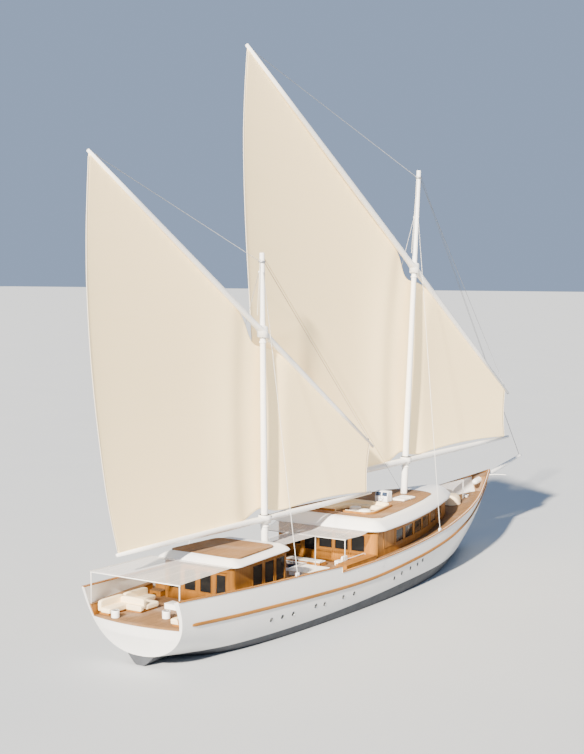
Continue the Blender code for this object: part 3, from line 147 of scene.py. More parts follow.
# Masts rake in degrees. The yard and boom cross them at heights v along the mast
MASTS = {
    "mizzen": {"foot_x": -6.525, "rake": -1.3, "height": 13.05, "foot_r": 0.15, "top_r": 0.1,
               "yard_v": 9.946, "boom_v": 2.487},
    "main": {"foot_x": 5.03, "rake": 4.3, "height": 17.2, "foot_r": 0.16, "top_r": 0.1,
             "yard_v": 12.59, "boom_v": 3.514},
}
# Ends of the yard (peak, heel) and of the boom (clew, tack) in the rig's plane
RIGS = {
    "mizzen": {"peak": (-9.35, 16.50), "heel": (7.84, 4.45), "clew": (-8.36, 2.56), "tack": (7.63, 2.42),
               "leech": ((0, 0), (0.13, 0.30), (0.27, 0.48), (0.4, 0.58), (0.53, 0.61), (0.67, 0.55),
                         (0.79, 0.41), (0.885, 0.24), (1, 0)),
               "hollow": 0.10, "belly": 0.45, "yard_r": 0.12, "boom_r": 0.13},
    "main": {"peak": (-13.20, 20.25), "heel": (9.99, 6.79), "clew": (-11.25, 2.44), "tack": (10.22, 4.48),
             "leech": ((0, 0), (0.2, 0.06), (0.42, 0.235), (0.6, 0.38), (0.72, 0.41), (0.82, 0.36),
                       (0.92, 0.19), (1, 0)),
             "hollow": 0.12, "belly": 0.75, "yard_r": 0.14, "boom_r": 0.15},
}
TRIM_DEG = 4.0
# Half height of the eyes round the mast, and how far they are pressed towards the spar's line
EYE_HALF = {"boom": 0.24, "yard": 0.36}
EYE_PRESS = 0.38

# Edge of a roof: step along it, distance inwards and height for a rise of 0.30
ROOF_EDGE = ((0, 0.0, 0.035), (1, 0.035, 0.078), (2, 0.15, 0.152), (3, 0.33, 0.246), (4, 0.49, 0.292),
             (5, 0.56, 0.30))

# Portholes along the hull: place and height
PORTHOLES = (
    (-9.75, 1.0), (-9.08, 0.98), (-8.40, 0.96), (-6.92, 0.975), (-6.30, 0.925), (-4.96, 0.945),
    (-4.15, 0.93), (-0.85, 0.95), (-0.20, 1.05), (0.60, 1.115), (1.30, 1.17), (1.80, 1.26),
)

# Sizes of what only the dressing has

MERGE = 0.00002
POLE = 0.0005
DECK_BOARD = 0.028
PAD_POWER = 0.22
PAD_PULL = 0.02

# The picture's camera, and the way that the sunlight travels
EYE = (-50.476, -29.625, 13.599)
EYE_TURN_DEG = (32.86, 4.17, 0.28)
LENS_MM = 64.07
SUN_WAY = (0.862, 0.17, -0.47)


# Curves and hull shape

def curve_value(table, x, column):
    """Smooth value at x through a table's rows: cubic pieces whose slopes are those between the
    neighbours of each row."""
    rows = np.array(table, float)
    xs, ys = rows[:, 0], rows[:, column]
    before = np.maximum(np.arange(len(xs)) - 1, 0)
    after = np.minimum(np.arange(len(xs)) + 1, len(xs) - 1)
    slopes = (ys[after] - ys[before]) / (xs[after] - xs[before])
    x = np.clip(np.asarray(x, float), xs[0], xs[-1])
    i = np.clip(np.searchsorted(xs, x, "right") - 1, 0, len(xs) - 2)
    span = xs[i + 1] - xs[i]
    t = (x - xs[i]) / span
    return ((2 * t ** 3 - 3 * t ** 2 + 1) * ys[i] + (t ** 3 - 2 * t ** 2 + t) * span * slopes[i]
            + (3 * t ** 2 - 2 * t ** 3) * ys[i + 1] + (t ** 3 - t ** 2) * span * slopes[i + 1])


def sheer_z(x):
    """Height of the rail: its curve on the quarter, and a power curve forward of the step."""
    x = np.asarray(x, float)
    rise = np.maximum(x + 3.0, 0.0) / 17.95
    return np.where(x < SHEER_STEP_X, curve_value(HULL_LINES, x, 2), 2.02 + 1.565 * rise ** 1.85)


def half_breadth(x, z):
    """Half breadth: the rail's breadth times (1 - (1 - p)^n)^q, with p the share of the height."""
    breadth, top, bottom, full, fine = [curve_value(HULL_LINES, x, k) for k in range(1, 6)]
    part = np.clip((z - bottom) / (top - bottom), 0.0, 1.08)
    return breadth * (1 - np.abs(1 - part) ** full) ** fine


def transom_x(x, y, z):
    """Rakes the stern aft with height and bulges it aft in the middle, fading over 2.2 m."""
    fade = np.maximum(0.0, 1 - (np.asarray(x, float) - STERN_X) / 2.2)
    breadth = np.maximum(half_breadth(STERN_X, z), 0.3)
    middle = 1 - np.minimum(np.abs(y) / breadth, 1.0) ** 2
    bulge = 0.30 * middle * np.clip((z - 0.36) / 0.8, 0.0, 1.0)
    rake = 0.59 * np.maximum((z - 0.4) / 2.28, 0.0) ** 1.7
    return x - fade ** 2 * (rake + bulge)


def fore_deck_z(x):
    """Top of the foredeck's planks."""
    return curve_value(FORE_DECK_LINE, x, 1)


def deck_level(x):
    """Top of the planks at a place, and up at the rail in the stem's block."""
    x = np.asarray(x, float)
    forward = np.where(x < STEM_BLOCK_X, fore_deck_z(x), sheer_z(x) - 0.04)
    return np.where(x < FORE_DECK_START_X, DECK_Z, forward)


def stations(start, end, step=0.18):
    """Places along the hull, with a close pair at each step of the rail, deck and skeg."""
    places = np.linspace(start, end, int((end - start) / step) + 2)
    for edge in (SKEG_END_X, SHEER_STEP_X, FORE_DECK_START_X, SKEG_START_X, STEM_BLOCK_X):
        if start < edge - STEP_HALF and edge + STEP_HALF < end:
            places = places[np.abs(places - edge) > 0.05]
            places = np.concatenate([places, [edge - STEP_HALF, edge + STEP_HALF]])
    return np.sort(places)


# Meshes

def circle(count):
    """Angles of a full turn in equal steps."""
    return np.arange(count) * 2 * math.pi / count


def lifted(flat, z):
    """Plan points set at one height."""
    return np.concatenate([flat, np.full((len(flat), 1), z)], -1)


def unit(rows):
    """Vectors scaled to length one."""
    return rows / np.linalg.norm(rows, axis=-1)[..., None]


def power(value, exponent):
    """A power of the size of a value, with the value's own sign."""
    return np.sign(value) * np.abs(value) ** exponent


def link_mesh(name, mesh, angle):
    """One object for a mesh, shaded smooth apart from edges sharper than the angle in degrees."""
    mesh.shade_smooth()
    mesh.set_sharp_from_angle(angle=math.radians(angle))
    item = bpy.data.objects.new(name, mesh)
    bpy.context.scene.collection.objects.link(item)
    return item


def mesh_piece(name, points, faces, uv=None, closed=True, angle=35):
    """One object from points and faces. Doubles are merged and faces turned outwards."""
    mesh = bpy.data.meshes.new(name)
    mesh.from_pydata(np.asarray(points, float).reshape(-1, 3).tolist(), [], faces)
    if uv is not None:
        layer = mesh.uv_layers.new(name="cut")
        corner = np.zeros(len(mesh.loops), np.int32)
        mesh.loops.foreach_get("vertex_index", corner)
        layer.data.foreach_set("uv", np.asarray(uv, np.float32).reshape(-1, 2)[corner].ravel())
    work = bmesh.new()
    work.from_mesh(mesh)
    bmesh.ops.remove_doubles(work, verts=work.verts, dist=MERGE)
    bmesh.ops.dissolve_degenerate(work, edges=work.edges, dist=MERGE)
    bmesh.ops.recalc_face_normals(work, faces=work.faces)
    if closed and work.calc_volume(signed=True) < 0:
        bmesh.ops.reverse_faces(work, faces=work.faces)
    work.to_mesh(mesh)
    work.free()
    return link_mesh(name, mesh, angle)


def grid_faces(rows, columns, around=False, along=False):
    """Four-sided faces of a grid, closed around its columns and along its rows if asked."""
    i = np.arange(rows if along else rows - 1)[:, None]
    j = np.arange(columns if around else columns - 1)[None, :]
    ahead, beside = (i + 1) % rows * columns, (j + 1) % columns
    return np.stack([i * columns + j, i * columns + beside, ahead + beside, ahead + j], -1).reshape(-1, 4).tolist()


def skin(name, grid, around=True, along=False, caps=True, uv=None, angle=35):
    """A skin over a grid of points, one row for each section, closed by flat ends."""
    grid = np.asarray(grid, float)
    rows, columns = grid.shape[:2]
    faces = grid_faces(rows, columns, around, along)
    if caps and around and not along:
        faces.append(list(range(columns)))
        faces.append([(rows - 1) * columns + j for j in range(columns)])
    return mesh_piece(name, grid, faces, uv, around, angle)


def tube(name, path, radius, sides=16, **more):
    """A round skin along a path, with a ring of the given radius at each point."""
    path = np.asarray(path, float)
    radius = np.broadcast_to(np.asarray(radius, float), (len(path),))
    along = unit(np.gradient(path, axis=0))
    up = np.where(np.abs(along[:, 2:3]) > 0.95, [[1.0, 0, 0]], [[0, 0, 1.0]])
    side = unit(np.cross(along, up))
    turn = circle(sides)[None, :, None]
    ring = side[:, None] * np.cos(turn) + np.cross(side, along)[:, None] * np.sin(turn)
    return skin(name, path[:, None] + ring * radius[:, None, None], **more)


def hoop(name, path, out, level, radius, sides=6):
    """A round bar along a closed path. Out points away from the path's middle, level is square to it."""
    turn = circle(sides)[None, :, None]
    ring = out[:, None] * np.cos(turn) + np.array(level) * np.sin(turn)
    return skin(name, path[:, None] + ring * radius, around=True, along=True)


def turned(name, centre, profile, sides=32, axis=(0, 0, 1), **more):
    """A turned body: rows of (radius, height) swept round an axis through the centre."""
    turn_to = Vector((0, 0, 1)).rotation_difference(Vector(axis)).to_matrix()
    angle = circle(sides)
    rows = np.array(profile, float)
    local = np.stack([rows[:, :1] * np.cos(angle), rows[:, :1] * np.sin(angle),
                      np.repeat(rows[:, 1:], sides, 1)], -1)
    return skin(name, local @ np.array(turn_to).T + np.array(Vector(centre)), **more)


def soften(item, width):
    """Rounds a piece's edges by a bevel."""
    step = item.modifiers.new("edge", "BEVEL")
    step.width = width
    step.segments = 2
    step.limit_method = "ANGLE"
    step.angle_limit = math.radians(40)


def box_piece(name, low, high, edge=0.01):
    """A box whose edges are rounded by a bevel."""
    x, y, z = zip(low, high)
    points = [(x[i], y[j], z[k]) for i in (0, 1) for j in (0, 1) for k in (0, 1)]
    faces = [(0, 1, 3, 2), (4, 6, 7, 5), (0, 4, 5, 1), (2, 3, 7, 6), (0, 2, 6, 4), (1, 5, 7, 3)]
    item = mesh_piece(name, points, faces)
    if edge:
        soften(item, edge)
    return item


def thicken(item, thickness, offset=-1.0):
    """Gives a sheet its thickness, below it or, with no offset, on both sides."""
    step = item.modifiers.new("thickness", "SOLIDIFY")
    step.thickness = thickness
    step.offset = offset
    step.use_even_offset = True


def turn_up(item):
    """Turns the faces of an open sheet so that they look up."""
    mesh = item.data
    if sum(p.normal.z * p.area for p in mesh.polygons) < 0:
        mesh.flip_normals()


def set_piece(item, recipe, body="vessel", stands_for=()):
    """Gives a piece its material and its body, and hides the nodes that it stands for."""
    item.data.materials.append(look(recipe))
    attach(item, body)
    if stands_for:
        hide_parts(*stands_for)
    return item


def set_boxes(*rows):
    """Boxes of the vessel: name, two corners, edge, material, and the nodes that each stands for."""
    for name, low, high, edge, recipe, *stands_for in rows:
        set_piece(box_piece(name, low, high, edge), recipe, "vessel", stands_for)


def set_pad(item, recipe, stands_for=()):
    """A stuffed piece of the vessel."""
    set_piece(item, recipe, "vessel", stands_for)


def smooth_copy(node, name, recipe, body="vessel", angle=40):
    """A copy of a node's mesh with its doubles merged and its round sides shaded smooth."""
    work = bmesh.new()
    work.from_mesh(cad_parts[node].data)
    bmesh.ops.remove_doubles(work, verts=work.verts, dist=0.0001)
    mesh = bpy.data.meshes.new(name)
    work.to_mesh(mesh)
    work.free()
    return set_piece(link_mesh(name, mesh, angle), recipe, body, (node,))


# Shader sums

class Wire:
    """A value on its way through a material. Sums and comparisons of wires add Math nodes."""

    def __init__(self, paint, socket):
        self.paint = paint
        self.socket = socket

    def math(self, kind, *others):
        return self.paint.node("ShaderNodeMath", {"operation": kind}, dict(enumerate((self,) + others)))

    def __add__(self, other):
        return self.math("ADD", other)

    __radd__ = __add__

    def __mul__(self, other):
        return self.math("MULTIPLY", other)

    __rmul__ = __mul__

    def __sub__(self, other):
        return self.math("SUBTRACT", other)

    def __rsub__(self, other):
        return self.paint.node("ShaderNodeMath", {"operation": "SUBTRACT"}, {0: other, 1: self})

    def __truediv__(self, other):
        return self.math("DIVIDE", other)

    def __pow__(self, other):
        return self.math("POWER", other)

    def __gt__(self, other):
        return self.math("GREATER_THAN", other)

    def __lt__(self, other):
        return self.math("LESS_THAN", other)

    def __abs__(self):
        return self.math("ABSOLUTE")

    def ramp(self, low, high, to_low=0.0, to_high=1.0):
        """A smooth step between two values."""
        return self.paint.node("ShaderNodeMapRange", {"interpolation_type": "SMOOTHSTEP"},
                               {0: self, 1: low, 2: high, 3: to_low, 4: to_high})

    def saw(self, period):
        """Runs from 0 to 1 over each period."""
        return (self / period).math("FRACT")


class Paint:
    """A material being mixed: its nodes, its coordinates and its shader."""

    def __init__(self, name):
        self.material = bpy.data.materials.new(name)
        self.material.use_nodes = True
        self.tree = self.material.node_tree
        self.shader = self.tree.nodes["Principled BSDF"]
        self.made = {}

    def node(self, kind, settings=None, values=None, out=0):
        """Adds a node with its settings, then the values or links of its sockets."""
        made = self.tree.nodes.new(kind)
        for key, value in (settings or {}).items():
            if key == "stops":
                while len(made.color_ramp.elements) < len(value):
                    made.color_ramp.elements.new(0.5)
                for element, (place, colour) in zip(made.color_ramp.elements, value):
                    element.position = place
                    element.color = (*colour, 1.0)
            else:
                setattr(made, key, value)
        for key, value in (values or {}).items():
            self.feed(made.inputs[key], value)
        return Wire(self, made.outputs[out])

    def feed(self, socket, value):
        if isinstance(value, Wire):
            self.tree.links.new(value.socket, socket)
        elif isinstance(value, tuple) and len(value) == 3 and socket.type == "RGBA":
            socket.default_value = (*value, 1.0)
        else:
            socket.default_value = value

    def place(self):
        """Object coordinates."""
        if "place" not in self.made:
            self.made["place"] = self.node("ShaderNodeTexCoord", out="Object")
        return self.made["place"]

    def axis(self, letter):
        """One of the object coordinates."""
        if letter not in self.made:
            self.made[letter] = self.node("ShaderNodeSeparateXYZ", values={0: self.place()},
                                          out="XYZ".index(letter))
        return self.made[letter]

    def cut(self, letter):
        """The piece's own UV map, in metres of the flat piece."""
        if "cut" not in self.made:
            self.made["cut"] = self.node("ShaderNodeUVMap", {"uv_map": "cut"})
        key = "cut" + letter
        if key not in self.made:
            self.made[key] = self.node("ShaderNodeSeparateXYZ", values={0: self.made["cut"]},
                                       out="UV".index(letter))
        return self.made[key]

    def noise(self, scale, detail=3.0, rough=0.5, stretch=(1, 1, 1)):
        """Soft noise on Object coordinates, stretched along the axes."""
        spot = self.node("ShaderNodeMapping", values={"Vector": self.place(), "Scale": stretch})
        return self.node("ShaderNodeTexNoise", values={"Vector": spot, "Scale": scale, "Detail": detail,
                                                       "Roughness": rough})

    def mix(self, share, first, second):
        return self.node("ShaderNodeMix", {"data_type": "RGBA"}, {0: share, 6: first, 7: second}, out=2)

    def bump(self, height, strength=0.3, distance=0.002):
        return self.node("ShaderNodeBump", values={"Strength": strength, "Distance": distance, "Height": height})

    def done(self, colour, **sockets):
        """Feeds the shader and returns the material."""
        self.feed(self.shader.inputs["Base Color"], colour)
        for key, value in sockets.items():
            self.feed(self.shader.inputs[key.replace("_", " ")], value)
        self.material.diffuse_color = (*colour, 1.0) if isinstance(colour, tuple) else (0.7, 0.7, 0.7, 1.0)
        return self.material


LOOKS = {}


def look(recipe):
    """The material of a recipe, mixed once and named like it."""
    name = recipe.__name__.replace("_", " ")
    if name not in LOOKS:
        LOOKS[name] = recipe(Paint(name))
    return LOOKS[name]


def settings():
    return bpy.context.scene.dhow


def shade(colour, factor):
    """A colour made lighter or darker."""
    return tuple(min(c * factor, 1.0) for c in colour)


def hull_paint(p):
    """Gloss off-white topsides over grey underwater paint, with a faint weathering."""
    white = tuple(settings().hull_colour)
    grey = tuple(settings().bottom_colour)
    x, z = p.axis("X"), p.axis("Z")
    away = (x + 8.0).math("MAXIMUM", 0.0)
    line = (away * away * 0.0036 + 0.36).math("SMOOTH_MIN", 0.58, 0.2)
    above = (z - line).ramp(-0.008, 0.008)
    streaks = p.noise(1.2, 4.0, 0.6, (1.0, 1.0, 0.12))
    cloud = p.noise(0.35, 2.0)
    top = p.mix(streaks.ramp(0.45, 0.75) * 0.35, white, shade(white, 0.93))
    top = p.mix(cloud * 0.25, top, (0.80, 0.83, 0.86))
    bottom = p.mix(p.noise(2.5, 5.0, 0.65).ramp(0.35, 0.7), grey, shade(grey, 0.72))
    foul = p.noise(30.0, 3.0)
    return p.done(p.mix(above, bottom, top), Roughness=above * -0.32 + 0.6 + streaks * 0.08,
                  Coat_Weight=above * 0.2, Coat_Roughness=0.08, Specular_IOR_Level=0.3,
                  Normal=p.bump(foul * (1 - above), 0.15, 0.004))


def roof_paint(p, colour=(0.95, 0.95, 0.94), rough=0.32):
    """White paint with a soft clouding and a fine orange peel."""
    cloud = p.noise(0.8, 3.0)
    fine = p.noise(60.0, 2.0)
    return p.done(p.mix(cloud * 0.3, colour, shade(colour, 0.95)), Roughness=fine * 0.1 + rough,
                  Coat_Weight=0.3, Coat_Roughness=0.12, Normal=p.bump(fine, 0.04, 0.001))


def inner_paint(p):
    return roof_paint(p, (0.86, 0.84, 0.80), 0.45)


def spar_paint(p):
    """Satin white paint with faint rubbed streaks along the spar."""
    streak = p.noise(2.2, 4.0, 0.6, (0.4, 3.0, 1.0))
    fine = p.noise(45.0, 2.0)
    return p.done(p.mix(streak.ramp(0.5, 0.8) * 0.5, (0.94, 0.93, 0.90), (0.85, 0.84, 0.80)),
                  Roughness=fine * 0.15 + 0.3, Coat_Weight=0.2, Normal=p.bump(fine, 0.05, 0.001))


def varnish(p, tone=1.0, stretch=(5.0, 5.0, 0.5)):
    """Honey-coloured wood: long streaks of grain and darker pores under gloss varnish."""
    wood = shade(tuple(settings().wood_colour), tone)
    board = p.noise(1.1, 2.0, 0.5, stretch)
    grain = p.noise(9.0, 6.0, 0.65, stretch)
    pores = p.noise(40.0, 3.0, 0.6, (stretch[0], stretch[1], stretch[2] * 0.6))
    colour = p.mix(board.ramp(0.3, 0.7), shade(wood, 0.82), shade(wood, 1.12))
    colour = p.mix(grain.ramp(0.48, 0.72) * 0.55, colour, shade(wood, 0.55))
    colour = p.mix(pores.ramp(0.6, 0.75) * 0.35, colour, shade(wood, 0.35))
    return p.done(colour, Roughness=grain * 0.18 + 0.36, Coat_Weight=0.04, Coat_Roughness=0.15,
                  Specular_IOR_Level=0.16, Normal=p.bump(grain, 0.12, 0.002))


def wall_wood(p):
    return varnish(p, 1.0, (4.0, 4.0, 0.35))


def rail_wood(p):
    return varnish(p, 0.92, (0.35, 4.0, 4.0))


def planks(p, tone=1.0, width=None, gap=0.12):
    """Teak planks along the hull with dark seams: a saw across the planks, tinted by plank."""
    teak = shade(tuple(settings().teak_colour), tone)
    width = width or settings().plank_width
    x, y = p.axis("X"), p.axis("Y")
    row = (y / width).math("FLOOR")
    part = y.saw(width)
    along = (x + row * 0.87).saw(1.9)
    seam = (part < gap) + (along < 0.006) * (1 - (part < gap))
    board = p.node("ShaderNodeCombineXYZ", values={0: row, 1: ((x + row * 0.87) / 1.9).math("FLOOR")})
    tint = p.node("ShaderNodeTexWhiteNoise", {"noise_dimensions": "2D"}, {"Vector": board})
    grain = p.noise(7.0, 5.0, 0.6, (0.6, 8.0, 8.0))
    wear = p.noise(0.6, 3.0)
    colour = p.mix(tint, shade(teak, 0.84), shade(teak, 1.14))
    colour = p.mix(grain.ramp(0.45, 0.75) * 0.4, colour, shade(teak, 0.66))
    colour = p.mix(wear.ramp(0.5, 0.8) * 0.35, colour, (0.50, 0.45, 0.40))
    colour = p.mix(seam * 0.75, colour, (0.09, 0.07, 0.06))
    return p.done(colour, Roughness=grain * 0.2 + 0.6, Specular_IOR_Level=0.12,
                  Normal=p.bump(grain * 0.3 - seam, 0.25, 0.002))


def deck_planks(p):
    return planks(p)


def roof_planks(p):
    return planks(p, 1.16, settings().plank_width * 0.9, 0.09)


def sailcloth(p):
    """Cream cloth: panels with stitched seams across the leech, a fine weave and soft creases, darkened as painted
    shade; the cloth also glows by its own emission as painted light.
    """
    cream = tuple(settings().sail_colour)
    u, v = p.cut("U"), p.cut("V")
    panel = v.saw(0.92)
    seam = (panel < 0.022) + (panel > 0.985)
    stitch = (abs(panel - 0.03) < 0.004) * (u.saw(0.03) < 0.6)
    weave = (u * 900.0).math("SINE") * (v * 900.0).math("SINE")
    crease_and_painted_shade = p.noise(0.55, 4.0, 0.6, (1.0, 1.0, 0.5))
    fine = p.noise(14.0, 4.0, 0.6)
    tint = p.node("ShaderNodeTexWhiteNoise", {"noise_dimensions": "1D"}, {"W": (v / 0.92).math("FLOOR")},
                  out="Value")
    colour = p.mix(tint * 0.2, cream, shade(cream, 0.965))
    colour = p.mix(fine.ramp(0.4, 0.7) * 0.22, colour, shade(cream, 0.9))
    # Painted shade: the cloth is darkened where the crease noise is high, as well as bumped
    colour = p.mix(crease_and_painted_shade.ramp(0.5, 0.8) * 0.2, colour, shade(cream, 0.9))
    colour = p.mix(seam * 0.09, colour, shade(cream, 0.74))
    colour = p.mix(stitch * 0.12, colour, shade(cream, 0.6))
    # Painted light: the cloth emits its own colour so that the sails look sunlit
    return p.done(colour, Roughness=0.9, Specular_IOR_Level=0.08, Emission_Color=colour,
                  Emission_Strength=settings().painted_sail_glow,
                  Normal=p.bump(crease_and_painted_shade * 0.8 + fine * 0.15 + seam * 0.1 + weave * 0.02, 0.25, 0.02))


def sail_edge(p):
    return p.done(p.mix(p.noise(20.0), (0.80, 0.72, 0.58), (0.70, 0.62, 0.49)), Roughness=0.85,
                  Normal=p.bump(p.noise(90.0), 0.3, 0.002))


def awning_cloth(p):
    """Thin pale mesh cloth that lets some light through, with faint warm seams."""
    seam = p.cut("V").saw(0.75) < 0.06
    dots = p.noise(26.0, 4.0, 0.7)
    colour = p.mix(dots.ramp(0.35, 0.65), (0.84, 0.80, 0.78), (0.95, 0.92, 0.89))
    colour = p.mix(seam * 0.3, colour, (0.95, 0.86, 0.80))
    return p.done(colour, Roughness=0.8, Alpha=seam * 0.10 + (dots * 0.22 + 0.19),
                  Normal=p.bump(dots, 0.2, 0.003))


def upholstery(p, colour=(0.96, 0.80, 0.54)):
    """Woven cream cover: two crossed threads and a soft mottling."""
    x, y, z = p.axis("X"), p.axis("Y"), p.axis("Z")
    thread = ((x + z) * 1400.0).math("SINE") * ((y - z) * 1400.0).math("SINE")
    mottle = p.noise(8.0, 4.0)
    worn = p.noise(1.5, 3.0)
    mixed = p.mix(mottle.ramp(0.35, 0.7) * 0.5, colour, shade(colour, 0.92))
    mixed = p.mix(worn.ramp(0.5, 0.8) * 0.3, mixed, shade(colour, 0.85))
    return p.done(mixed, Roughness=0.9, Specular_IOR_Level=0.12,
                  Normal=p.bump(thread * 0.3 + mottle, 0.25, 0.003))


def white_fabric(p):
    return upholstery(p, (0.95, 0.92, 0.86))


def piping(p):
    return p.done(p.mix(p.noise(60.0), (0.74, 0.68, 0.58), (0.84, 0.79, 0.70)), Roughness=0.85,
                  Normal=p.bump(p.noise(200.0), 0.3, 0.001))


def smoked_glass(p):
    """Dark tinted glass with a faint film of salt."""
    film = p.noise(3.0, 4.0, 0.6)
    return p.done(p.mix(film * 0.5, (0.012, 0.013, 0.014), (0.030, 0.031, 0.033)),
                  Roughness=film * 0.06 + 0.05, Alpha=0.975, IOR=1.42, Specular_IOR_Level=0.14)


def steel(p):
    """Brushed stainless steel."""
    brush = p.noise(25.0, 4.0, 0.6, (1.0, 1.0, 12.0))
    return p.done(p.mix(brush, (0.62, 0.62, 0.62), (0.78, 0.78, 0.77)), Metallic=1.0,
                  Roughness=brush * 0.15 + 0.16, Normal=p.bump(brush, 0.06, 0.001))


def dark_wire(p, low=(0.10, 0.105, 0.12), high=(0.22, 0.23, 0.25), rough=0.45, metal=0.6):
    """Stay wire with its lay showing as a twisted ripple."""
    x, z = p.axis("X"), p.axis("Z")
    lay = ((z * 3.0 + x) * 160.0).math("SINE")
    return p.done(p.mix(lay.ramp(-1.0, 1.0), low, high), Roughness=rough, Metallic=metal,
                  Normal=p.bump(lay, 0.2, 0.002))


def grey_wire(p):
    return dark_wire(p, (0.24, 0.25, 0.27), (0.40, 0.41, 0.43))


def white_wire(p):
    return dark_wire(p, (0.74, 0.75, 0.76), (0.88, 0.88, 0.88), 0.4, 0.2)


def bronze(p):
    """Cast bronze, brighter where it is polished, with a green bloom in the hollows."""
    cast = p.noise(14.0, 4.0, 0.6)
    bloom = p.noise(5.0, 3.0)
    colour = p.mix(cast, (0.55, 0.36, 0.14), (0.72, 0.50, 0.24))
    colour = p.mix(bloom.ramp(0.55, 0.8) * 0.4, colour, (0.20, 0.30, 0.22))
    return p.done(colour, Metallic=0.9, Roughness=cast * 0.25 + 0.25, Normal=p.bump(cast, 0.2, 0.003))


def bottom_paint(p):
    grey = tuple(settings().bottom_colour)
    cloud = p.noise(2.5, 5.0, 0.65)
    return p.done(p.mix(cloud.ramp(0.35, 0.7), grey, shade(grey, 0.72)), Roughness=0.62,
                  Normal=p.bump(p.noise(30.0), 0.15, 0.004))


def pool_tiles(p):
    """Navy glass tiles with pale joints."""
    x, y, z = p.axis("X"), p.axis("Y"), p.axis("Z")
    joint = (x.saw(0.05) < 0.06) + (y.saw(0.05) < 0.06) + (z.saw(0.05) < 0.06)
    tone = p.noise(25.0, 1.0)
    colour = p.mix(joint.math("MINIMUM", 1.0) * 0.5, p.mix(tone, (0.008, 0.02, 0.06), (0.02, 0.05, 0.12)),
                   (0.15, 0.18, 0.22))
    return p.done(colour, Roughness=0.18, Coat_Weight=0.5, Normal=p.bump(1 - joint, 0.1, 0.001))


def pool_water(p):
    ripple = p.noise(9.0, 3.0)
    deep = p.noise(2.5, 2.0)
    return p.done(p.mix(deep, (0.004, 0.014, 0.04), (0.012, 0.03, 0.07)), Roughness=0.03, Coat_Weight=0.8,
                  IOR=1.33, Normal=p.bump(ripple, 0.25, 0.01))


# Near-black: the real dark tops of the drum tables and the mast rings, and also the painted shade of the boom's slot
def dark_trim_and_painted_shade(p):
    return p.done(p.mix(p.noise(30.0), (0.02, 0.02, 0.022), (0.05, 0.05, 0.052)), Roughness=0.5,
                  Normal=p.bump(p.noise(80.0), 0.1, 0.001))


def screen(p):
    """A dark navigation screen with faint contour bands."""
    cloud = p.noise(9.0, 2.0)
    band = cloud.saw(0.09) < 0.15
    return p.done(p.mix(band, (0.02, 0.03, 0.06), (0.10, 0.16, 0.25)), Roughness=0.12, Coat_Weight=0.8)


def rope(p):
    x, z = p.axis("X"), p.axis("Z")
    lay = ((x + z) * 260.0).math("SINE")
    return p.done(p.mix(lay.ramp(-1.0, 1.0), (0.62, 0.57, 0.47), (0.82, 0.78, 0.68)), Roughness=0.9,
                  Normal=p.bump(lay, 0.4, 0.003))


def lamp(p):
    return p.done(p.mix(p.noise(80.0), (0.95, 0.93, 0.86), (0.86, 0.83, 0.75)), Roughness=0.2,
                  Emission_Color=(1.0, 0.93, 0.8), Emission_Strength=0.4)


def floor(p):
    return p.done(p.mix(p.noise(0.15, 2.0), (0.47, 0.50, 0.53), (0.51, 0.535, 0.56)), Roughness=0.75)


# Hull

def hull_rings(places, levels, upper, across):
    """Closed sections from the port keel up the skin, over the bulwark, across the deck's bed and
    down the other side. The skin's heights run from the keel by a power of the share."""
    rings = []
    for x in places:
        bottom = float(curve_value(HULL_LINES, x, 3))
        deck = float(deck_level(x)) - DECK_BED
        fin = SKEG_END_X <= x <= SKEG_START_X
        half = float(curve_value(KEEL_LINE, x, 2)) if fin else (0.09 if x < 0 else 0.04)
        low = -float(curve_value(KEEL_LINE, x, 1)) if fin else bottom
        heights = np.linspace(bottom, deck, 400)
        wide = half_breadth(x, heights) >= half
        join_z = heights[np.argmax(wide)] if wide.any() else deck - 0.05
        z = join_z + (deck - join_z) * np.linspace(0, 1, levels) ** 1.5
        rail = max(float(sheer_z(x)) - 0.04, deck)
        z_up = np.linspace(deck, rail, upper)[1:]
        z = np.concatenate([[min(low, join_z)], z, z_up])
        y = np.maximum(half_breadth(x, z), half)
        y[0] = half
        thicker = 0.07 * min(max((-13.3 - x) / 0.9, 0.0), 1.0)
        z_in = z_up[::-1]
        share = (z_in - deck) / max(rail - deck, 1e-6)
        y_in = np.maximum(half_breadth(x, z_in) - WALL - thicker * share, 0.012)
        edge = max(float(half_breadth(x, deck)) - WALL, 0.01)
        y_deck = np.linspace(edge, -edge, across)
        ys = np.concatenate([y, y_in, y_deck, -y_in[::-1], -y[::-1]])
        zs = np.concatenate([z, z_in, np.full(across, deck), z_in[::-1], z[::-1]])
        rings.append(np.stack([transom_x(np.full(len(ys), x), ys, zs), ys, zs], -1))
    return np.array(rings)


def make_hull():
    """The painted hull with its keel, its bulwarks and a bulged transom."""
    levels, upper, across = 34, 8, 9
    rings = hull_rings(stations(STERN_X, STEM_X), levels, upper, across)
    rows, count = rings.shape[:2]
    points = rings.reshape(-1, 3)
    faces = grid_faces(rows, count, around=True)
    faces.append([(rows - 1) * count + j for j in range(count)])
    # Aft end: strips across from port to starboard below the deck, and the bulwarks' ends
    outer = levels + 1
    first = rings[0]
    deck_start = outer + 2 * (upper - 1)
    brink = first[outer - 1, 1]
    shares = np.concatenate([[brink], first[deck_start:deck_start + across, 1], [-brink]]) / brink
    y = first[:outer, 1][:, None] * shares[None, :]
    z = np.repeat(first[:outer, 2][:, None], len(shares), 1)
    wall = np.stack([transom_x(np.full(y.shape, STERN_X), y, z), y, z], -1)
    start = len(points)
    points = np.concatenate([points, wall.reshape(-1, 3)])
    faces += [[start + k for k in face] for face in grid_faces(outer, len(shares))]
    faces.append([0, count - 1, start + len(shares) - 1, start])
    for k in range(upper - 1):
        strip = [outer - 1 + k, outer + k, deck_start - 1 - k, deck_start - k]
        faces += [strip, [count - 1 - corner for corner in strip]]
    set_piece(mesh_piece("hull_painted", points, faces, angle=30), hull_paint, "vessel",
              ("hull", "bulwark_port", "bulwark_starboard"))


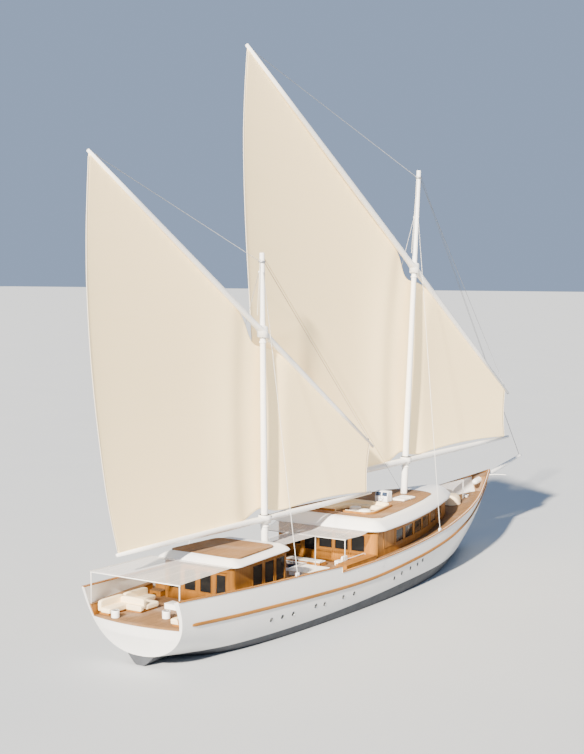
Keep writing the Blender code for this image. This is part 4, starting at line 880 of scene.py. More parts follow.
def make_rails():
    """Cap rail, rubbing strakes and stem bar, all in varnished wood with a pale coping."""
    places = stations(STERN_X + 0.02, RAIL_TURN_X, 0.12)
    low = sheer_z(places) - 0.039
    outer = half_breadth(places, low) + 0.025
    inner = np.maximum(outer - 0.15, 0.012)
    turn = np.linspace(-math.pi / 2, math.pi / 2, 7) + math.pi / 2
    arch = np.sin(np.linspace(0, math.pi, 7)) ** 0.5
    rise = float(sheer_z(STEM_X + 0.08) - sheer_z(RAIL_TURN_X))
    # Two wooden strips with a pale coping between them, each joined round the stem
    for name, centre, half, height, lift, recipe, replaced in (
            ("rail_outer_strip", outer - 0.032, 0.034, 0.036, 0.006, rail_wood, ("cap_rail",)),
            ("rail_inner_strip", inner + 0.032, 0.034, 0.036, 0.006, rail_wood, ()),
            ("rail_coping", (outer + inner) / 2, 0.062, 0.026, 0.003, inner_paint, ())):
        side = half * np.cos(turn)
        ys = np.concatenate([centre[:, None] + side, centre[:, None] - side], 1)
        zs = np.concatenate([(low + lift)[:, None] + height * arch[None, :],
                             np.repeat((low + lift - 0.002)[:, None], 7, 1)], 1)
        port = np.stack([transom_x(np.repeat(places[:, None], 14, 1), ys, zs), ys, zs], -1)
        last = port[-1]
        tip = np.stack([RAIL_TURN_X + 0.05 + np.maximum(last[:, 1] - inner[-1], 0) * 2.0, np.zeros(14),
                        last[:, 2] + rise], -1)
        mirrored = (port * np.array([1, -1, 1]))[::-1]
        set_piece(skin(name, np.concatenate([port, tip[None], mirrored]), angle=50), recipe, "vessel", replaced)
    places = stations(-14.0, STRAKE_END_X, 0.12)
    swell = (np.sqrt(np.clip((places + 14.0) / 0.12, 0.35, 1))
             * np.sqrt(np.clip((STRAKE_END_X - places) / 0.3, 0.1, 1)))[:, None]
    angle = np.linspace(-1.9, 1.9, 11)[None, :]
    zs = curve_value(STRAKE_LINE, places, 1)[:, None] + 0.072 * np.sin(angle) * swell
    ys = half_breadth(places[:, None], zs) + 0.06 * np.cos(angle) * swell
    xs = transom_x(np.repeat(places[:, None], 11, 1), ys, zs)
    for side, sign in SIDES:
        set_piece(skin("rubbing_strake_" + side, np.stack([xs, sign * ys, zs], -1), angle=50), rail_wood,
                  "vessel", ("strake_" + side,))
    # Stem bar along the hull's bottom line forward
    x = np.linspace(11.2, STEM_X - 0.03, 60)
    slope = (curve_value(HULL_LINES, x + 0.02, 3) - curve_value(HULL_LINES, x - 0.02, 3)) / 0.04
    out = unit(np.stack([slope, 0 * x, -np.ones_like(x)], -1))
    centre = np.stack([x, 0 * x, curve_value(HULL_LINES, x, 3)], -1)
    angle = circle(14)[None, :, None]
    ring = (centre[:, None] + out[:, None] * (0.01 + 0.058 * np.cos(angle))
            + np.array([0, 1.0, 0]) * (0.034 * np.sin(angle)))
    set_piece(skin("stem_bar", ring), rail_wood, "vessel", ("stem_cap",))


def lay_board(name, x, y, z, thickness, recipe, stands_for=()):
    """A thin board over rows of points across the hull, with its top at the given heights."""
    x, z = [np.broadcast_to(np.reshape(a, (-1, 1)), y.shape) for a in (x, z)]
    board = skin(name, np.stack([transom_x(x, y, z), y, z], -1), around=False)
    turn_up(board)
    thicken(board, thickness)
    set_piece(board, recipe, "vessel", stands_for)


def make_decks():
    """Planked decks between the bulwarks, the stem's block, and the teak-topped ledges."""
    fit = 0.004 - WALL
    x = stations(STERN_X + 0.03, MAIN_HOUSE[0][0] - 0.002, 0.2)
    half = half_breadth(x, DECK_Z - DECK_BED) + fit
    lay_board("aft_deck_planks", x, half[:, None] * np.linspace(-1, 1, 13), DECK_Z, DECK_BOARD, deck_planks,
              ("deck_aft",))
    nose = dense_outline(MAIN_HOUSE, 0.03, HOUSE_CORNER, 0.35)
    x = stations(FORE_DECK_START_X + 0.007, STEM_BLOCK_X - 0.007, 0.15)
    half = half_breadth(x, fore_deck_z(x) - DECK_BED) + fit
    port = nose[: len(nose) // 2]
    inner = np.interp(x, port[:, 0], port[:, 1], left=port[0, 1], right=0.0)
    inner = np.where(x > nose[:, 0].max(), 0.0, inner)
    for side, sign in SIDES:
        y = inner[:, None] + (half - inner)[:, None] * np.linspace(0, 1, 8)
        lay_board("fore_deck_planks_" + side, x, sign * y, fore_deck_z(x), DECK_BOARD, deck_planks,
                  ("deck_fore",) if sign > 0 else ())
    x = np.linspace(STEM_BLOCK_X + 0.004, 14.42, 12)
    half = np.maximum(half_breadth(x, sheer_z(x) - 0.05) - WALL, 0.015)
    across = np.linspace(-1, 1, 5)
    lay_board("stem_block_top", x, half[:, None] * across, sheer_z(x) - 0.027, 0.012, deck_planks)
    # Upright board on the block's after face: two grids of 8 by 5 points joined round their edge
    x = STEM_BLOCK_X - 0.008
    z = np.linspace(float(fore_deck_z(x)) + 0.001, float(sheer_z(x)) - 0.028, 8)
    y = (half_breadth(x, z) - WALL + 0.002)[:, None] * across
    plate = np.stack([np.full(y.shape, x), y, np.repeat(z[:, None], 5, 1)], -1)
    flat = np.array(grid_faces(8, 5))
    edge = [*range(5), *range(9, 40, 5), *range(38, 34, -1), *range(30, 0, -5)]
    rim = [[a, b, b + 40, a + 40] for a, b in zip(edge, edge[1:] + edge[:1])]
    set_piece(mesh_piece("stem_block_face", np.stack([plate, plate + np.array([0.012, 0, 0])]),
                         flat.tolist() + (flat + 40).tolist() + rim), deck_planks)
    x = np.linspace(STERN_X + 0.03, -10.9, 40)
    inner = curve_value(LEDGE_LINE, x, 1)
    outer = half_breadth(x, 1.9) - WALL - 0.004
    bevel, foot = 0.02, DECK_Z + 0.001
    ys = np.stack([inner, inner, inner + bevel, outer, outer], -1)
    zs = np.repeat([[foot, LEDGE_TOP - bevel, LEDGE_TOP, LEDGE_TOP, foot]], len(x), 0)
    xs = transom_x(np.repeat(x[:, None], 5, 1), ys, zs)
    y = inner[:, None] - 0.012 + (outer - inner + 0.02)[:, None] * np.linspace(0, 1, 4)
    for side, sign in SIDES:
        set_piece(skin("quarter_ledge_" + side, np.stack([xs, sign * ys, zs], -1), angle=30), wall_wood,
                  "vessel", ("ledge_" + side,))
        lay_board("ledge_board_" + side, x, sign * y, LEDGE_TOP + 0.016, 0.015, deck_planks)
    for number, (start, top) in enumerate(((-11.12, 1.8), (-10.72, 2.02))):
        end = start + 0.41
        set_boxes((f"side_step_{number}", (start, 1.68, DECK_Z + 0.001), (end, 2.24, top - 0.02), 0.008, wall_wood),
                  (f"side_tread_{number}", (start - 0.015, 1.67, top - 0.02), (end, 2.25, top), 0.005, deck_planks))


# Houses and roofs

def dense_outline(table, shrink=0.0, corner=0.3, nose=0.0, steps=10, run=48):
    """Closed plan outline of a house, clockwise from above: round corners aft, bowed sides, and a
    bowed or flat front; shrink moves every point inwards by the same distance."""
    aft, fore = table[0][0], table[-1][0]
    turn = math.pi / 2 * (1 - np.arange(steps + 1) / steps)
    x = aft + corner * (1 - np.sin(turn))
    parts = [np.stack([x, curve_value(table, x, 1) - corner * (1 - np.cos(turn))], -1)]
    end = fore if nose else fore - corner
    x = np.linspace(aft + corner, end, run)[1:]
    parts.append(np.stack([x, curve_value(table, x, 1)], -1))
    if nose:
        half = float(curve_value(table, fore, 1))
        slope = (half - float(curve_value(table, fore - 0.2, 1))) / 0.2
        turn = math.pi / 2 * np.arange(1, 13) / 13
        x = fore + nose * np.sin(turn)
        parts.append(np.stack([x, (half + slope * (x - fore) * 0.6) * np.cos(turn)], -1))
    else:
        turn = math.pi / 2 * np.arange(1, steps + 1) / steps
        x = fore - corner * (1 - np.sin(turn))
        parts.append(np.stack([x, curve_value(table, x, 1) - corner * (1 - np.cos(turn))], -1))
    side = np.concatenate(parts)
    whole = np.concatenate([side, (side * np.array([1, -1]))[::-1]])
    if shrink == 0:
        return whole
    before = whole - np.roll(whole, 1, 0)
    after = np.roll(whole, -1, 0) - whole
    inward = [np.stack([d[:, 1], -d[:, 0]], -1) / np.maximum(np.linalg.norm(d, axis=1), 1e-9)[:, None]
              for d in (before, after)]
    middle = unit(inward[0] + inward[1])
    stretch = 1 / np.maximum((middle * inward[0]).sum(1), 0.5)
    return whole + middle * stretch[:, None] * shrink


def resample(loop, like, centre=(0.5, 0.0)):
    """Points of one closed outline at the same angles about a centre as those of another."""
    angle = np.arctan2(like[:, 1] - centre[1], like[:, 0] - centre[0])
    own = np.arctan2(loop[:, 1] - centre[1], loop[:, 0] - centre[0])
    order = np.argsort(own)
    own, ring = own[order], loop[order]
    own = np.concatenate([own[-1:] - 2 * math.pi, own, own[:1] + 2 * math.pi])
    ring = np.concatenate([ring[-1:], ring, ring[:1]])
    return np.stack([np.interp(angle, own, ring[:, k]) for k in (0, 1)], -1)


class WallLine:
    """The outline of a house measured along itself, with points and outward directions."""

    def __init__(self, table, corner, nose):
        loop = dense_outline(table, 0.0, corner, nose, 12, 90)
        self.points = np.concatenate([loop, loop[:1]])
        self.run = np.concatenate([[0], np.cumsum(np.linalg.norm(np.diff(self.points, axis=0), axis=1))])
        self.half = len(loop) // 2

    def place(self, s):
        s = np.mod(s, self.run[-1])
        return np.stack([np.interp(s, self.run, self.points[:, k]) for k in (0, 1)], -1)

    def at(self, s):
        """Points at distances along the outline, with the outward direction at each."""
        way = unit(self.place(s + 0.004) - self.place(s - 0.004))
        return self.place(s), np.stack([-way[..., 1], way[..., 0]], -1)

    def span(self, side, place, width):
        """Both ends, along the outline, of an opening in a long wall (side 1 or -1) or the aft wall."""
        ends = [place - width / 2, place + width / 2]
        if side == "a":
            # The aft wall closes the loop, from its last point to its first
            last, first = self.points[-2], self.points[-1]
            stretch = (self.run[-1] - self.run[-2]) / (first[1] - last[1])
            return sorted(float(self.run[-2] + stretch * (y - last[1])) for y in ends)
        wall = slice(0, self.half) if side > 0 else slice(self.half, -1)
        return sorted(float(np.interp(side * x, side * self.points[wall, 0], self.run[wall])) for x in ends)


def frame_points(line, a, b, c, d, width, out):
    """A window's frame: a flat bar carried round its four sides, standing proud of the wall."""
    s = np.concatenate([np.linspace(*pair, 8) for pair in ((a, b), (b, b), (b, a), (a, a))])
    z = np.concatenate([np.linspace(*pair, 8) for pair in ((c, c), (c, d), (d, d), (d, c))])
    mid_s, mid_z = (a + b) / 2, (c + d) / 2
    rows = []
    for grow, lift in ((width, -0.004), (width, out), (-0.004, out), (-0.004, -HOUSE_WALL * 0.8)):
        gs = mid_s + (s - mid_s) * (1 + grow / (b - a) * 2)
        gz = mid_z + (z - mid_z) * (1 + grow / (d - c) * 2)
        point, normal = line.at(gs)
        rows.append(np.concatenate([point + normal * lift, gz[:, None]], -1))
    return np.stack(rows, 1)


def set_frames(name, line, parts, width=0.022, out=0.010):
    """The frames of several openings or panels in one piece."""
    frames = [frame_points(line, *part, width, out) for part in parts]
    rows, columns = frames[0].shape[:2]
    base = np.array(grid_faces(rows, columns, around=True, along=True))
    faces = np.concatenate([base + rows * columns * k for k in range(len(frames))]).tolist()
    set_piece(mesh_piece(name, np.concatenate(frames), faces, angle=30), rail_wood)


def make_walls(house, table, nose, low, windows, door):
    """A wall along the outline with its windows and door left out, a frame and a pane for each
    window. Returns the outline."""
    line = WallLine(table, HOUSE_CORNER, nose)
    holes = []
    for side, place, width, sill, head in windows:
        for wall in ((1, -1) if side == "s" else "a"):
            holes.append((*line.span(wall, place, width), sill, head))
    doorway = (*line.span("a", door[0], door[1]), low - 1, door[2])
    s = np.linspace(0, line.run[-1], 260)[:-1]
    cuts = [h[k] for h in holes + [doorway] for k in (0, 1)]
    s = s[np.min(np.abs(s[:, None] - np.array(cuts)[None, :]), 1) > 0.012]
    s = np.sort(np.concatenate([s, cuts]))
    z = np.concatenate([[h[k] for h in holes for k in (2, 3)], [door[2]], np.linspace(low, CEILING_Z, 5)])
    z = np.unique(np.round(z, 4))
    z = z[(z >= low) & (z <= CEILING_Z)]
    point, _ = line.at(s)
    grid = np.concatenate([np.repeat(point[None], len(z), 0), np.repeat(z[:, None, None], len(s), 1)], -1)
    faces = np.array(grid_faces(len(z), len(s), around=True)).reshape(len(z) - 1, len(s), 4)
    mid_s = (s + np.append(s[1:], s[0] + line.run[-1])) / 2
    mid_z = (z[1:] + z[:-1]) / 2
    keep = np.ones(faces.shape[:2], bool)
    for a, b, c, d in holes + [doorway]:
        keep &= ~((mid_s > a) & (mid_s < b))[None, :] | ~((mid_z > c) & (mid_z < d))[:, None]
    wall = mesh_piece(house + "_boards", grid, faces[keep].tolist(), closed=False)
    middle = 0.5 * (table[0][0] + table[-1][0])
    if sum((p.center.x - middle) * p.normal.x + p.center.y * p.normal.y for p in wall.data.polygons) < 0:
        wall.data.flip_normals()
    thicken(wall, HOUSE_WALL)
    set_piece(wall, wall_wood, "vessel", (house + "_walls",))
    set_frames(house + "_window_frames", line, holes)
    # Panes close behind the wall's outer face, each a closed ring of 6 points in 9 rows
    panes, faces = [], []
    for number, (a, b, c, d) in enumerate(holes):
        s, z = np.meshgrid(np.linspace(a, b, 9), np.linspace(c, d, 3), indexing="ij")
        point, normal = line.at(s.ravel())
        front, back = [np.concatenate([point - normal * depth, z.reshape(-1, 1)], -1).reshape(9, 3, 3)
                       for depth in (0.008, 0.016)]
        panes.append(np.concatenate([front, back[:, ::-1]], 1))
        own = grid_faces(9, 6, around=True) + [list(range(6)), list(range(48, 54))]
        faces += [[54 * number + k for k in face] for face in own]
    set_piece(mesh_piece(house + "_panes", np.concatenate(panes), faces, angle=30), smoked_glass, "vessel",
              (house + "_glass",))
    return line


def ring_stack(name, outlines, recipe, stands_for=(), closed=True, angle=35):
    """A ring-shaped body: outlines with their heights, joined in order and back to the first."""
    rows = np.array([lifted(flat, z) for flat, z in outlines])
    item = skin(name, rows, around=True, along=closed, caps=not closed, angle=angle)
    return set_piece(item, recipe, "vessel", stands_for)


def make_roof(name, table, corner, nose, rise, well):
    """A crowned roof: its edge turns up from the soffit and eases inwards to a flat middle, which is
    open over the cockpit's well. Its eaves get a wooden soffit and a painted ceiling."""
    def edge(inset):
        return dense_outline(table, inset, corner, nose)

    turn = np.linspace(0, 5, 31)
    rows = [(edge(inset), CEILING_Z + up) for inset, up in ((0.30, 0), (0.05, 0), (0.015, 0.012), (0.0, 0.03))]
    for inset, share in zip(curve_value(ROOF_EDGE, turn, 1), curve_value(ROOF_EDGE, turn, 2) / 0.30):
        rows.append((edge(inset), CEILING_Z + rise * share))
    if well:
        inner = resample(dense_outline(COCKPIT, -0.05, 0.5), rows[-1][0])
        rows += [(inner, CEILING_Z + rise), (inner, CEILING_Z + rise * 0.5)]
    ring_stack(name + "_roof", rows, roof_paint, (name + "_house_roof",), closed=well, angle=60)
    ring_stack(name + "_roof_ceiling", [(edge(0.28), CEILING_Z + 0.004), (edge(0.28), CEILING_Z + 0.03)],
               inner_paint, closed=False)
    ring_stack(name + "_soffit", [(edge(0.32), CEILING_Z - 0.012), (edge(0.07), CEILING_Z - 0.012),
                                  (edge(0.06), CEILING_Z + 0.002), (edge(0.32), CEILING_Z + 0.002)], rail_wood)


def make_panels(line):
    """Framed wood panels in the first bay of the main house's long walls and under its aft
    windows, and rounded posts at the aft corners of both houses."""
    parts = [(*line.span(sign, -0.62, 1.08), 2.26, 2.92) for sign in (1, -1)]
    parts += [(*line.span("a", y, 0.66), 1.68, 2.04) for y in (-1.60, -0.80, 0.0, 1.60)]
    set_frames("main_house_panel_frames", line, parts, 0.03, 0.014)
    for house, x, y, radius, low in (("main", -1.74, 2.32, 0.17, 1.56), ("aft", -10.845, 1.465, 0.155, 1.582)):
        rows = [(0.001, low), (radius, low), (radius + 0.005, low + 0.04), (radius, low + 0.08),
                (radius - 0.005, 3.0), (radius + 0.002, 3.04), (radius + 0.002, 3.075), (0.001, 3.075)]
        for side, sign in SIDES:
            set_piece(turned(f"{house}_corner_post_{side}", (x, sign * y, 0), rows, 36), wall_wood)


def make_houses():
    """Both deckhouses: walls, roofs, planked roof decks, doors, and floors and seats inside."""
    make_walls("aft_house", AFT_HOUSE, 0, DECK_Z + 0.0005, AFT_WINDOWS, AFT_DOOR)
    make_panels(make_walls("main_house", MAIN_HOUSE, 0.35, DECK_Z - 0.03, MAIN_WINDOWS, MAIN_DOOR))
    make_roof("aft", AFT_ROOF, 0.5, 0, AFT_RISE, False)
    make_roof("main", MAIN_ROOF, 0.7, 0.75, MAIN_RISE, True)
    z = CEILING_Z + AFT_RISE
    outline = dense_outline(AFT_ROOF_DECK, 0, 0.35)
    ring_stack("aft_roof_planks", [(outline, z - 0.05), (outline, z + 0.012),
                                   (dense_outline(AFT_ROOF_DECK, 0.004, 0.35), z + 0.015)],
               roof_planks, ("aft_roof_deck",), closed=False, angle=20)
    z = MAIN_TOP
    outer = dense_outline(MAIN_ROOF_DECK, 0, 0.5, 0.8)
    inner, mid = [resample(dense_outline(COCKPIT, inset, 0.5), outer) for inset in (-0.06, -0.09)]
    ring_stack("main_roof_planks", [(outer, z - 0.05), (outer, z + 0.012), (outer * 0.998 + mid * 0.002, z + 0.015),
                                    (inner, z + 0.015), (inner, z - 0.05)], roof_planks, ("main_roof_deck",), angle=20)
    for node, (place, width, top), swing in (("aft_house_door", AFT_DOOR, 1), ("main_house_door", MAIN_DOOR, -1)):
        smooth_copy(node, node + "_leaf", wall_wood, node)
        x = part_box(node)[0].x
        pane = box_piece(node + "_pane", (x - 0.005, place - width * 0.41, 1.98),
                         (x, place + width * 0.41, top - 0.07), 0.002)
        set_piece(pane, smoked_glass, node)
        y = place + swing * (width / 2 - 0.025)
        grip = [(x - out, y, z) for out, z in ((0.004, 2.02), (0.03, 2.03), (0.032, 2.12), (0.03, 2.21), (0.004, 2.22))]
        set_piece(tube(node + "_handle", grip, 0.007, 10), steel, node)
    # Interior floors and pale seats that show faintly behind the glass
    for name, table, nose, z in (("aft", AFT_HOUSE, 0, DECK_Z + 0.004), ("main", MAIN_HOUSE, 0.3, DECK_Z - 0.024)):
        sole = dense_outline(table, 0.09, 0.2, nose)
        ring_stack(name + "_cabin_floor", [(sole, z), (sole, z + 0.012)], deck_planks, closed=False)
    for number, (low, high) in enumerate((
            ((-8.9, 0.75, 1.6), (-7.4, 1.25, 1.86)), ((-8.9, -1.25, 1.6), (-7.4, -0.8, 1.86)),
            ((0.0, 1.2, 1.58), (3.0, 1.75, 1.95)), ((0.0, -1.8, 1.58), (2.6, -1.3, 1.95)))):
        set_pad(cushion(f"cabin_seat_{number}", low, high), upholstery)


# Soft goods

def cushion(name, low, high, crown=0.10):
    """A stuffed pad: a rounded box, crowned on top and bottom, whose sides pull in between its
    corners. Each side follows a power of the sine and cosine, so that corners stay full."""
    low, high = np.array(low, float), np.array(high, float)
    columns = 44
    u, v = circle(columns), np.linspace(-math.pi / 2, math.pi / 2, 22)
    wide = power(np.cos(v), PAD_POWER)
    wide[0] = wide[-1] = 0
    x, y = [wide[:, None] * power(wave(u), PAD_POWER)[None, :] for wave in (np.cos, np.sin)]
    z = np.repeat(power(np.sin(v), PAD_POWER * 1.6)[:, None], columns, 1)
    z = z * (1 - crown * (1 - (1 - x ** 2) * (1 - y ** 2)))
    x = x * (1 - PAD_PULL * (1 - y ** 2))
    y = y * (1 - PAD_PULL * (1 - x ** 2))
    return skin(name, np.stack([x, y, z], -1) * ((high - low) / 2) + (high + low) / 2, caps=False, angle=80)


def seam(name, low, high):
    """Piping round a cushion, a little above the middle of its height."""
    low, high = np.array(low, float), np.array(high, float)
    half, centre = (high - low) / 2, (high + low) / 2
    level, u = 0.24, circle(64)
    wide = (1 - level ** (2 / (PAD_POWER * 1.6))) ** (PAD_POWER / 2)
    x, y = [wide * power(wave(u), PAD_POWER) for wave in (np.cos, np.sin)]
    path = np.stack([x * (1 - PAD_PULL * (1 - y ** 2)) * half[0] + centre[0],
                     y * (1 - PAD_PULL * (1 - x ** 2)) * half[1] + centre[1],
                     np.full(64, centre[2] + level * half[2] * 0.97)], -1)
    along = unit(np.roll(path, -1, 0) - np.roll(path, 1, 0))
    return hoop(name, path, np.cross(along, [0, 0, 1.0]), (0, 0, 1.0), 0.006)


def make_pads(group, boxes, recipe, stands_for=(), crown=0.10):
    """Several cushions of one seat with their piping. The first stands for the seat's node."""
    for number, (low, high) in enumerate(boxes):
        pad = cushion(f"{group}_pad_{number}", low, high, crown)
        set_pad(pad, recipe, () if number else stands_for)
        set_piece(seam(f"{group}_piping_{number}", low, high), piping)


def split(low, high, axis, count, gap=0.006):
    """Boxes side by side along one axis with a small gap."""
    edges = np.linspace(low[axis], high[axis], count + 1)
    boxes = []
    for a, b in zip(edges, edges[1:]):
        one, two = list(low), list(high)
        one[axis], two[axis] = a + gap / 2, b - gap / 2
        boxes.append((one, two))
    return boxes


def make_furniture():
    """Seats, tables, sun bed and pool on the aft and middle decks, and the raised lockers."""
    deck = DECK_Z
    foot, seat, top = deck + 0.002, deck + 0.06, deck + 0.27
    back = seat + 0.02
    pads = split((-14.45, 1.34, seat), (-11.75, 1.78, top), 0, 2)
    pads += split((-14.45, 1.74, back), (-11.75, 1.90, deck + 0.52), 0, 2)
    pads += [((-13.22, 0.64, seat), (-12.47, 1.35, top)), ((-13.54, 0.64, seat), (-13.36, 1.35, top)),
             ((-13.38, 0.645, back), (-13.20, 1.75, deck + 0.50))]
    make_pads("aft_sofa", pads, upholstery, ("aft_sofa",), 0.05)
    pads = [((-14.30, -1.72, seat), (-13.62, -1.27, top)), ((-14.30, -1.90, back), (-13.62, -1.70, deck + 0.50))]
    make_pads("aft_chair", pads, upholstery, ("aft_chair",), 0.05)
    set_boxes(
        ("aft_seat_plinth_0", (-14.38, 1.42, foot), (-11.82, 1.86, back), 0.006, wall_wood),
        ("aft_seat_plinth_1", (-13.48, 0.70, foot), (-12.54, 1.40, back), 0.006, wall_wood),
        ("aft_seat_plinth_2", (-14.24, -1.86, foot), (-13.68, -1.33, back), 0.006, wall_wood),
        ("coffee_table_body", (-12.5, -0.3, foot), (-12.02, 0.4, deck + 0.195), 0.02, roof_paint,
         "aft_coffee_table"),
        ("coffee_table_top", (-12.512, -0.312, deck + 0.185), (-12.02, 0.4, deck + 0.215), 0.008, roof_paint))
    drum = [(POLE, 0.0), (0.13, 0.0), (0.148, 0.012), (0.15, 0.15), (0.15, 0.262), (0.146, 0.272),
            (0.128, 0.272), (0.124, 0.262), (POLE, 0.262)]
    lid = [(POLE, 0.263), (0.122, 0.263), (0.122, 0.266), (POLE, 0.266)]
    for number, (x, y) in enumerate(((-14.45, 1.06), (-13.535, -0.51))):
        for name, rows, recipe in (("drum_table", drum, roof_paint), ("drum_table_top", lid, dark_trim_and_painted_shade)):
            rows = [(radius, foot + height) for radius, height in rows]
            set_piece(turned(f"{name}_{number}", (x, y, 0), rows, 40), recipe)
    make_pads("sun_bed", split((-5.2, -1.47, deck + 0.10), (-3.83, -0.25, deck + 0.22), 1, 2), white_fabric,
              ("middle_sun_bed",), 0.05)
    set_boxes(
        ("sun_bed_base", (-5.18, -1.45, foot), (-3.85, -0.27, deck + 0.105), 0.01, roof_paint),
        ("pool_surround_0", (-4.6, 0.12, foot), (-4.5, 1.28, deck + 0.1), 0.006, roof_paint, "middle_pool"),
        ("pool_surround_1", (-3.3, 0.12, foot), (-3.06, 1.28, deck + 0.1), 0.006, roof_paint),
        ("pool_surround_2", (-4.5, 0.12, foot), (-3.3, 0.22, deck + 0.1), 0.006, roof_paint),
        ("pool_surround_3", (-4.5, 1.18, foot), (-3.3, 1.28, deck + 0.1), 0.006, roof_paint),
        ("pool_lining", (-4.498, 0.222, deck + 0.003), (-3.302, 1.178, deck + 0.03), 0, pool_tiles),
        ("pool_water", (-4.499, 0.221, deck + 0.04), (-3.301, 1.179, deck + 0.075), 0, pool_water),
        ("bench_body", (-3.2, -0.55, foot), (-2.72, 1.2, deck + 0.14), 0.008, wall_wood))
    make_pads("bench", split((-3.19, -0.54, deck + 0.14), (-2.73, 1.19, deck + 0.2), 1, 3), white_fabric, (), 0.12)
    make_pads("deck_chair", [((-2.6, -1.25, deck + 0.10), (-2.2, -0.85, deck + 0.2)),
                             ((-2.62, -1.29, deck + 0.12), (-2.2, -1.19, deck + 0.42))], white_fabric)
    set_boxes(("deck_chair_base", (-2.58, -1.24, foot), (-2.22, -0.87, deck + 0.1), 0.01, roof_paint))
    # Raised lockers beside the main house with a pale grab rail along the inboard edge
    for side, sign in SIDES:
        low, high = sorted((sign * 2.03, sign * 2.55))
        set_boxes(("side_locker_box_" + side, (-4.43, low, foot), (-1.96, high, 2.075), 0.012, wall_wood,
                   "side_locker_" + side),
                  ("side_locker_lid_" + side, (-4.45, low - 0.012, 2.075), (-1.955, high + 0.012, 2.1), 0.008,
                   rail_wood))
        path = [(x, sign * 2.06, z) for x, z in ((-4.35, 2.095), (-4.33, 2.15), (-4.2, 2.16), (-3.2, 2.16),
                                                 (-2.2, 2.16), (-2.1, 2.15), (-2.08, 2.095))]
        set_piece(tube("locker_rail_" + side, path, 0.014, 12), roof_paint)


def open_ring(name, outer, inner, profile, reach, gap, end, angle):
    """A bar along a closed outline, cut open at the cockpit's entrance. Each row of the profile is a
    share of the way from the outer outline to the inner one, and a height."""
    ring = np.stack([lifted(outer * (1 - share) + inner * share, z) for share, z in profile], 1)
    keep = ~((outer[:, 0] < COCKPIT[0][0] + reach) & (np.abs(outer[:, 1] - ENTRANCE_Y) < gap))
    port_end, starboard_end = ring[0].copy(), ring[-1].copy()
    port_end[:, 1] = ENTRANCE_Y + end
    starboard_end[:, 1] = ENTRANCE_Y - end
    return skin(name, np.concatenate([port_end[None], ring[keep], starboard_end[None]]), angle=angle)


def make_helm():
    """A tapered cabinet with two screens and a wheel."""
    foot, aft, fore, right, left = MAIN_TOP + 0.016, 2.42, 2.86, -0.62, 0.02
    rows = [[(aft + lean, right, foot + up), (fore, right, foot + up), (fore, left, foot + up),
             (aft + lean, left, foot + up)] for lean, up in ((0.0, 0.0), (0.0, 0.22), (0.10, 0.45), (0.14, 0.462))]
    cabinet = skin("helm_cabinet", rows)
    soften(cabinet, 0.012)
    set_piece(cabinet, roof_paint, "vessel", ("helm_console",))
    faces = [(0, 1, 2, 3), (7, 6, 5, 4), (0, 4, 5, 1), (1, 5, 6, 2), (2, 6, 7, 3), (3, 7, 4, 0)]
    for number, y in enumerate((-0.46, -0.14)):
        front = [(aft + lean, y + across, foot + up) for lean, across, up in (
            (0.012, -0.13, 0.262), (0.012, 0.13, 0.262), (0.086, 0.13, 0.432), (0.086, -0.13, 0.432))]
        back = [(a + 0.01, b, c - 0.004) for a, b, c in front]
        set_piece(mesh_piece(f"helm_screen_{number}", front + back, faces), screen)
    hub = np.array([aft - 0.05, -0.3, foot + 0.17])
    angle = circle(48)
    out = np.stack([np.zeros(48), np.cos(angle), np.sin(angle)], -1)
    set_piece(hoop("helm_wheel_rim", hub + 0.13 * out, out, (1.0, 0, 0), 0.009, 8), steel)
    for number in range(3):
        a = math.pi / 2 + number * 2 * math.pi / 3
        tip = hub + 0.125 * np.array([0, math.cos(a), math.sin(a)])
        set_piece(tube(f"helm_spoke_{number}", [(aft + 0.01, hub[1], hub[2]), hub, tip], 0.006, 8), steel)


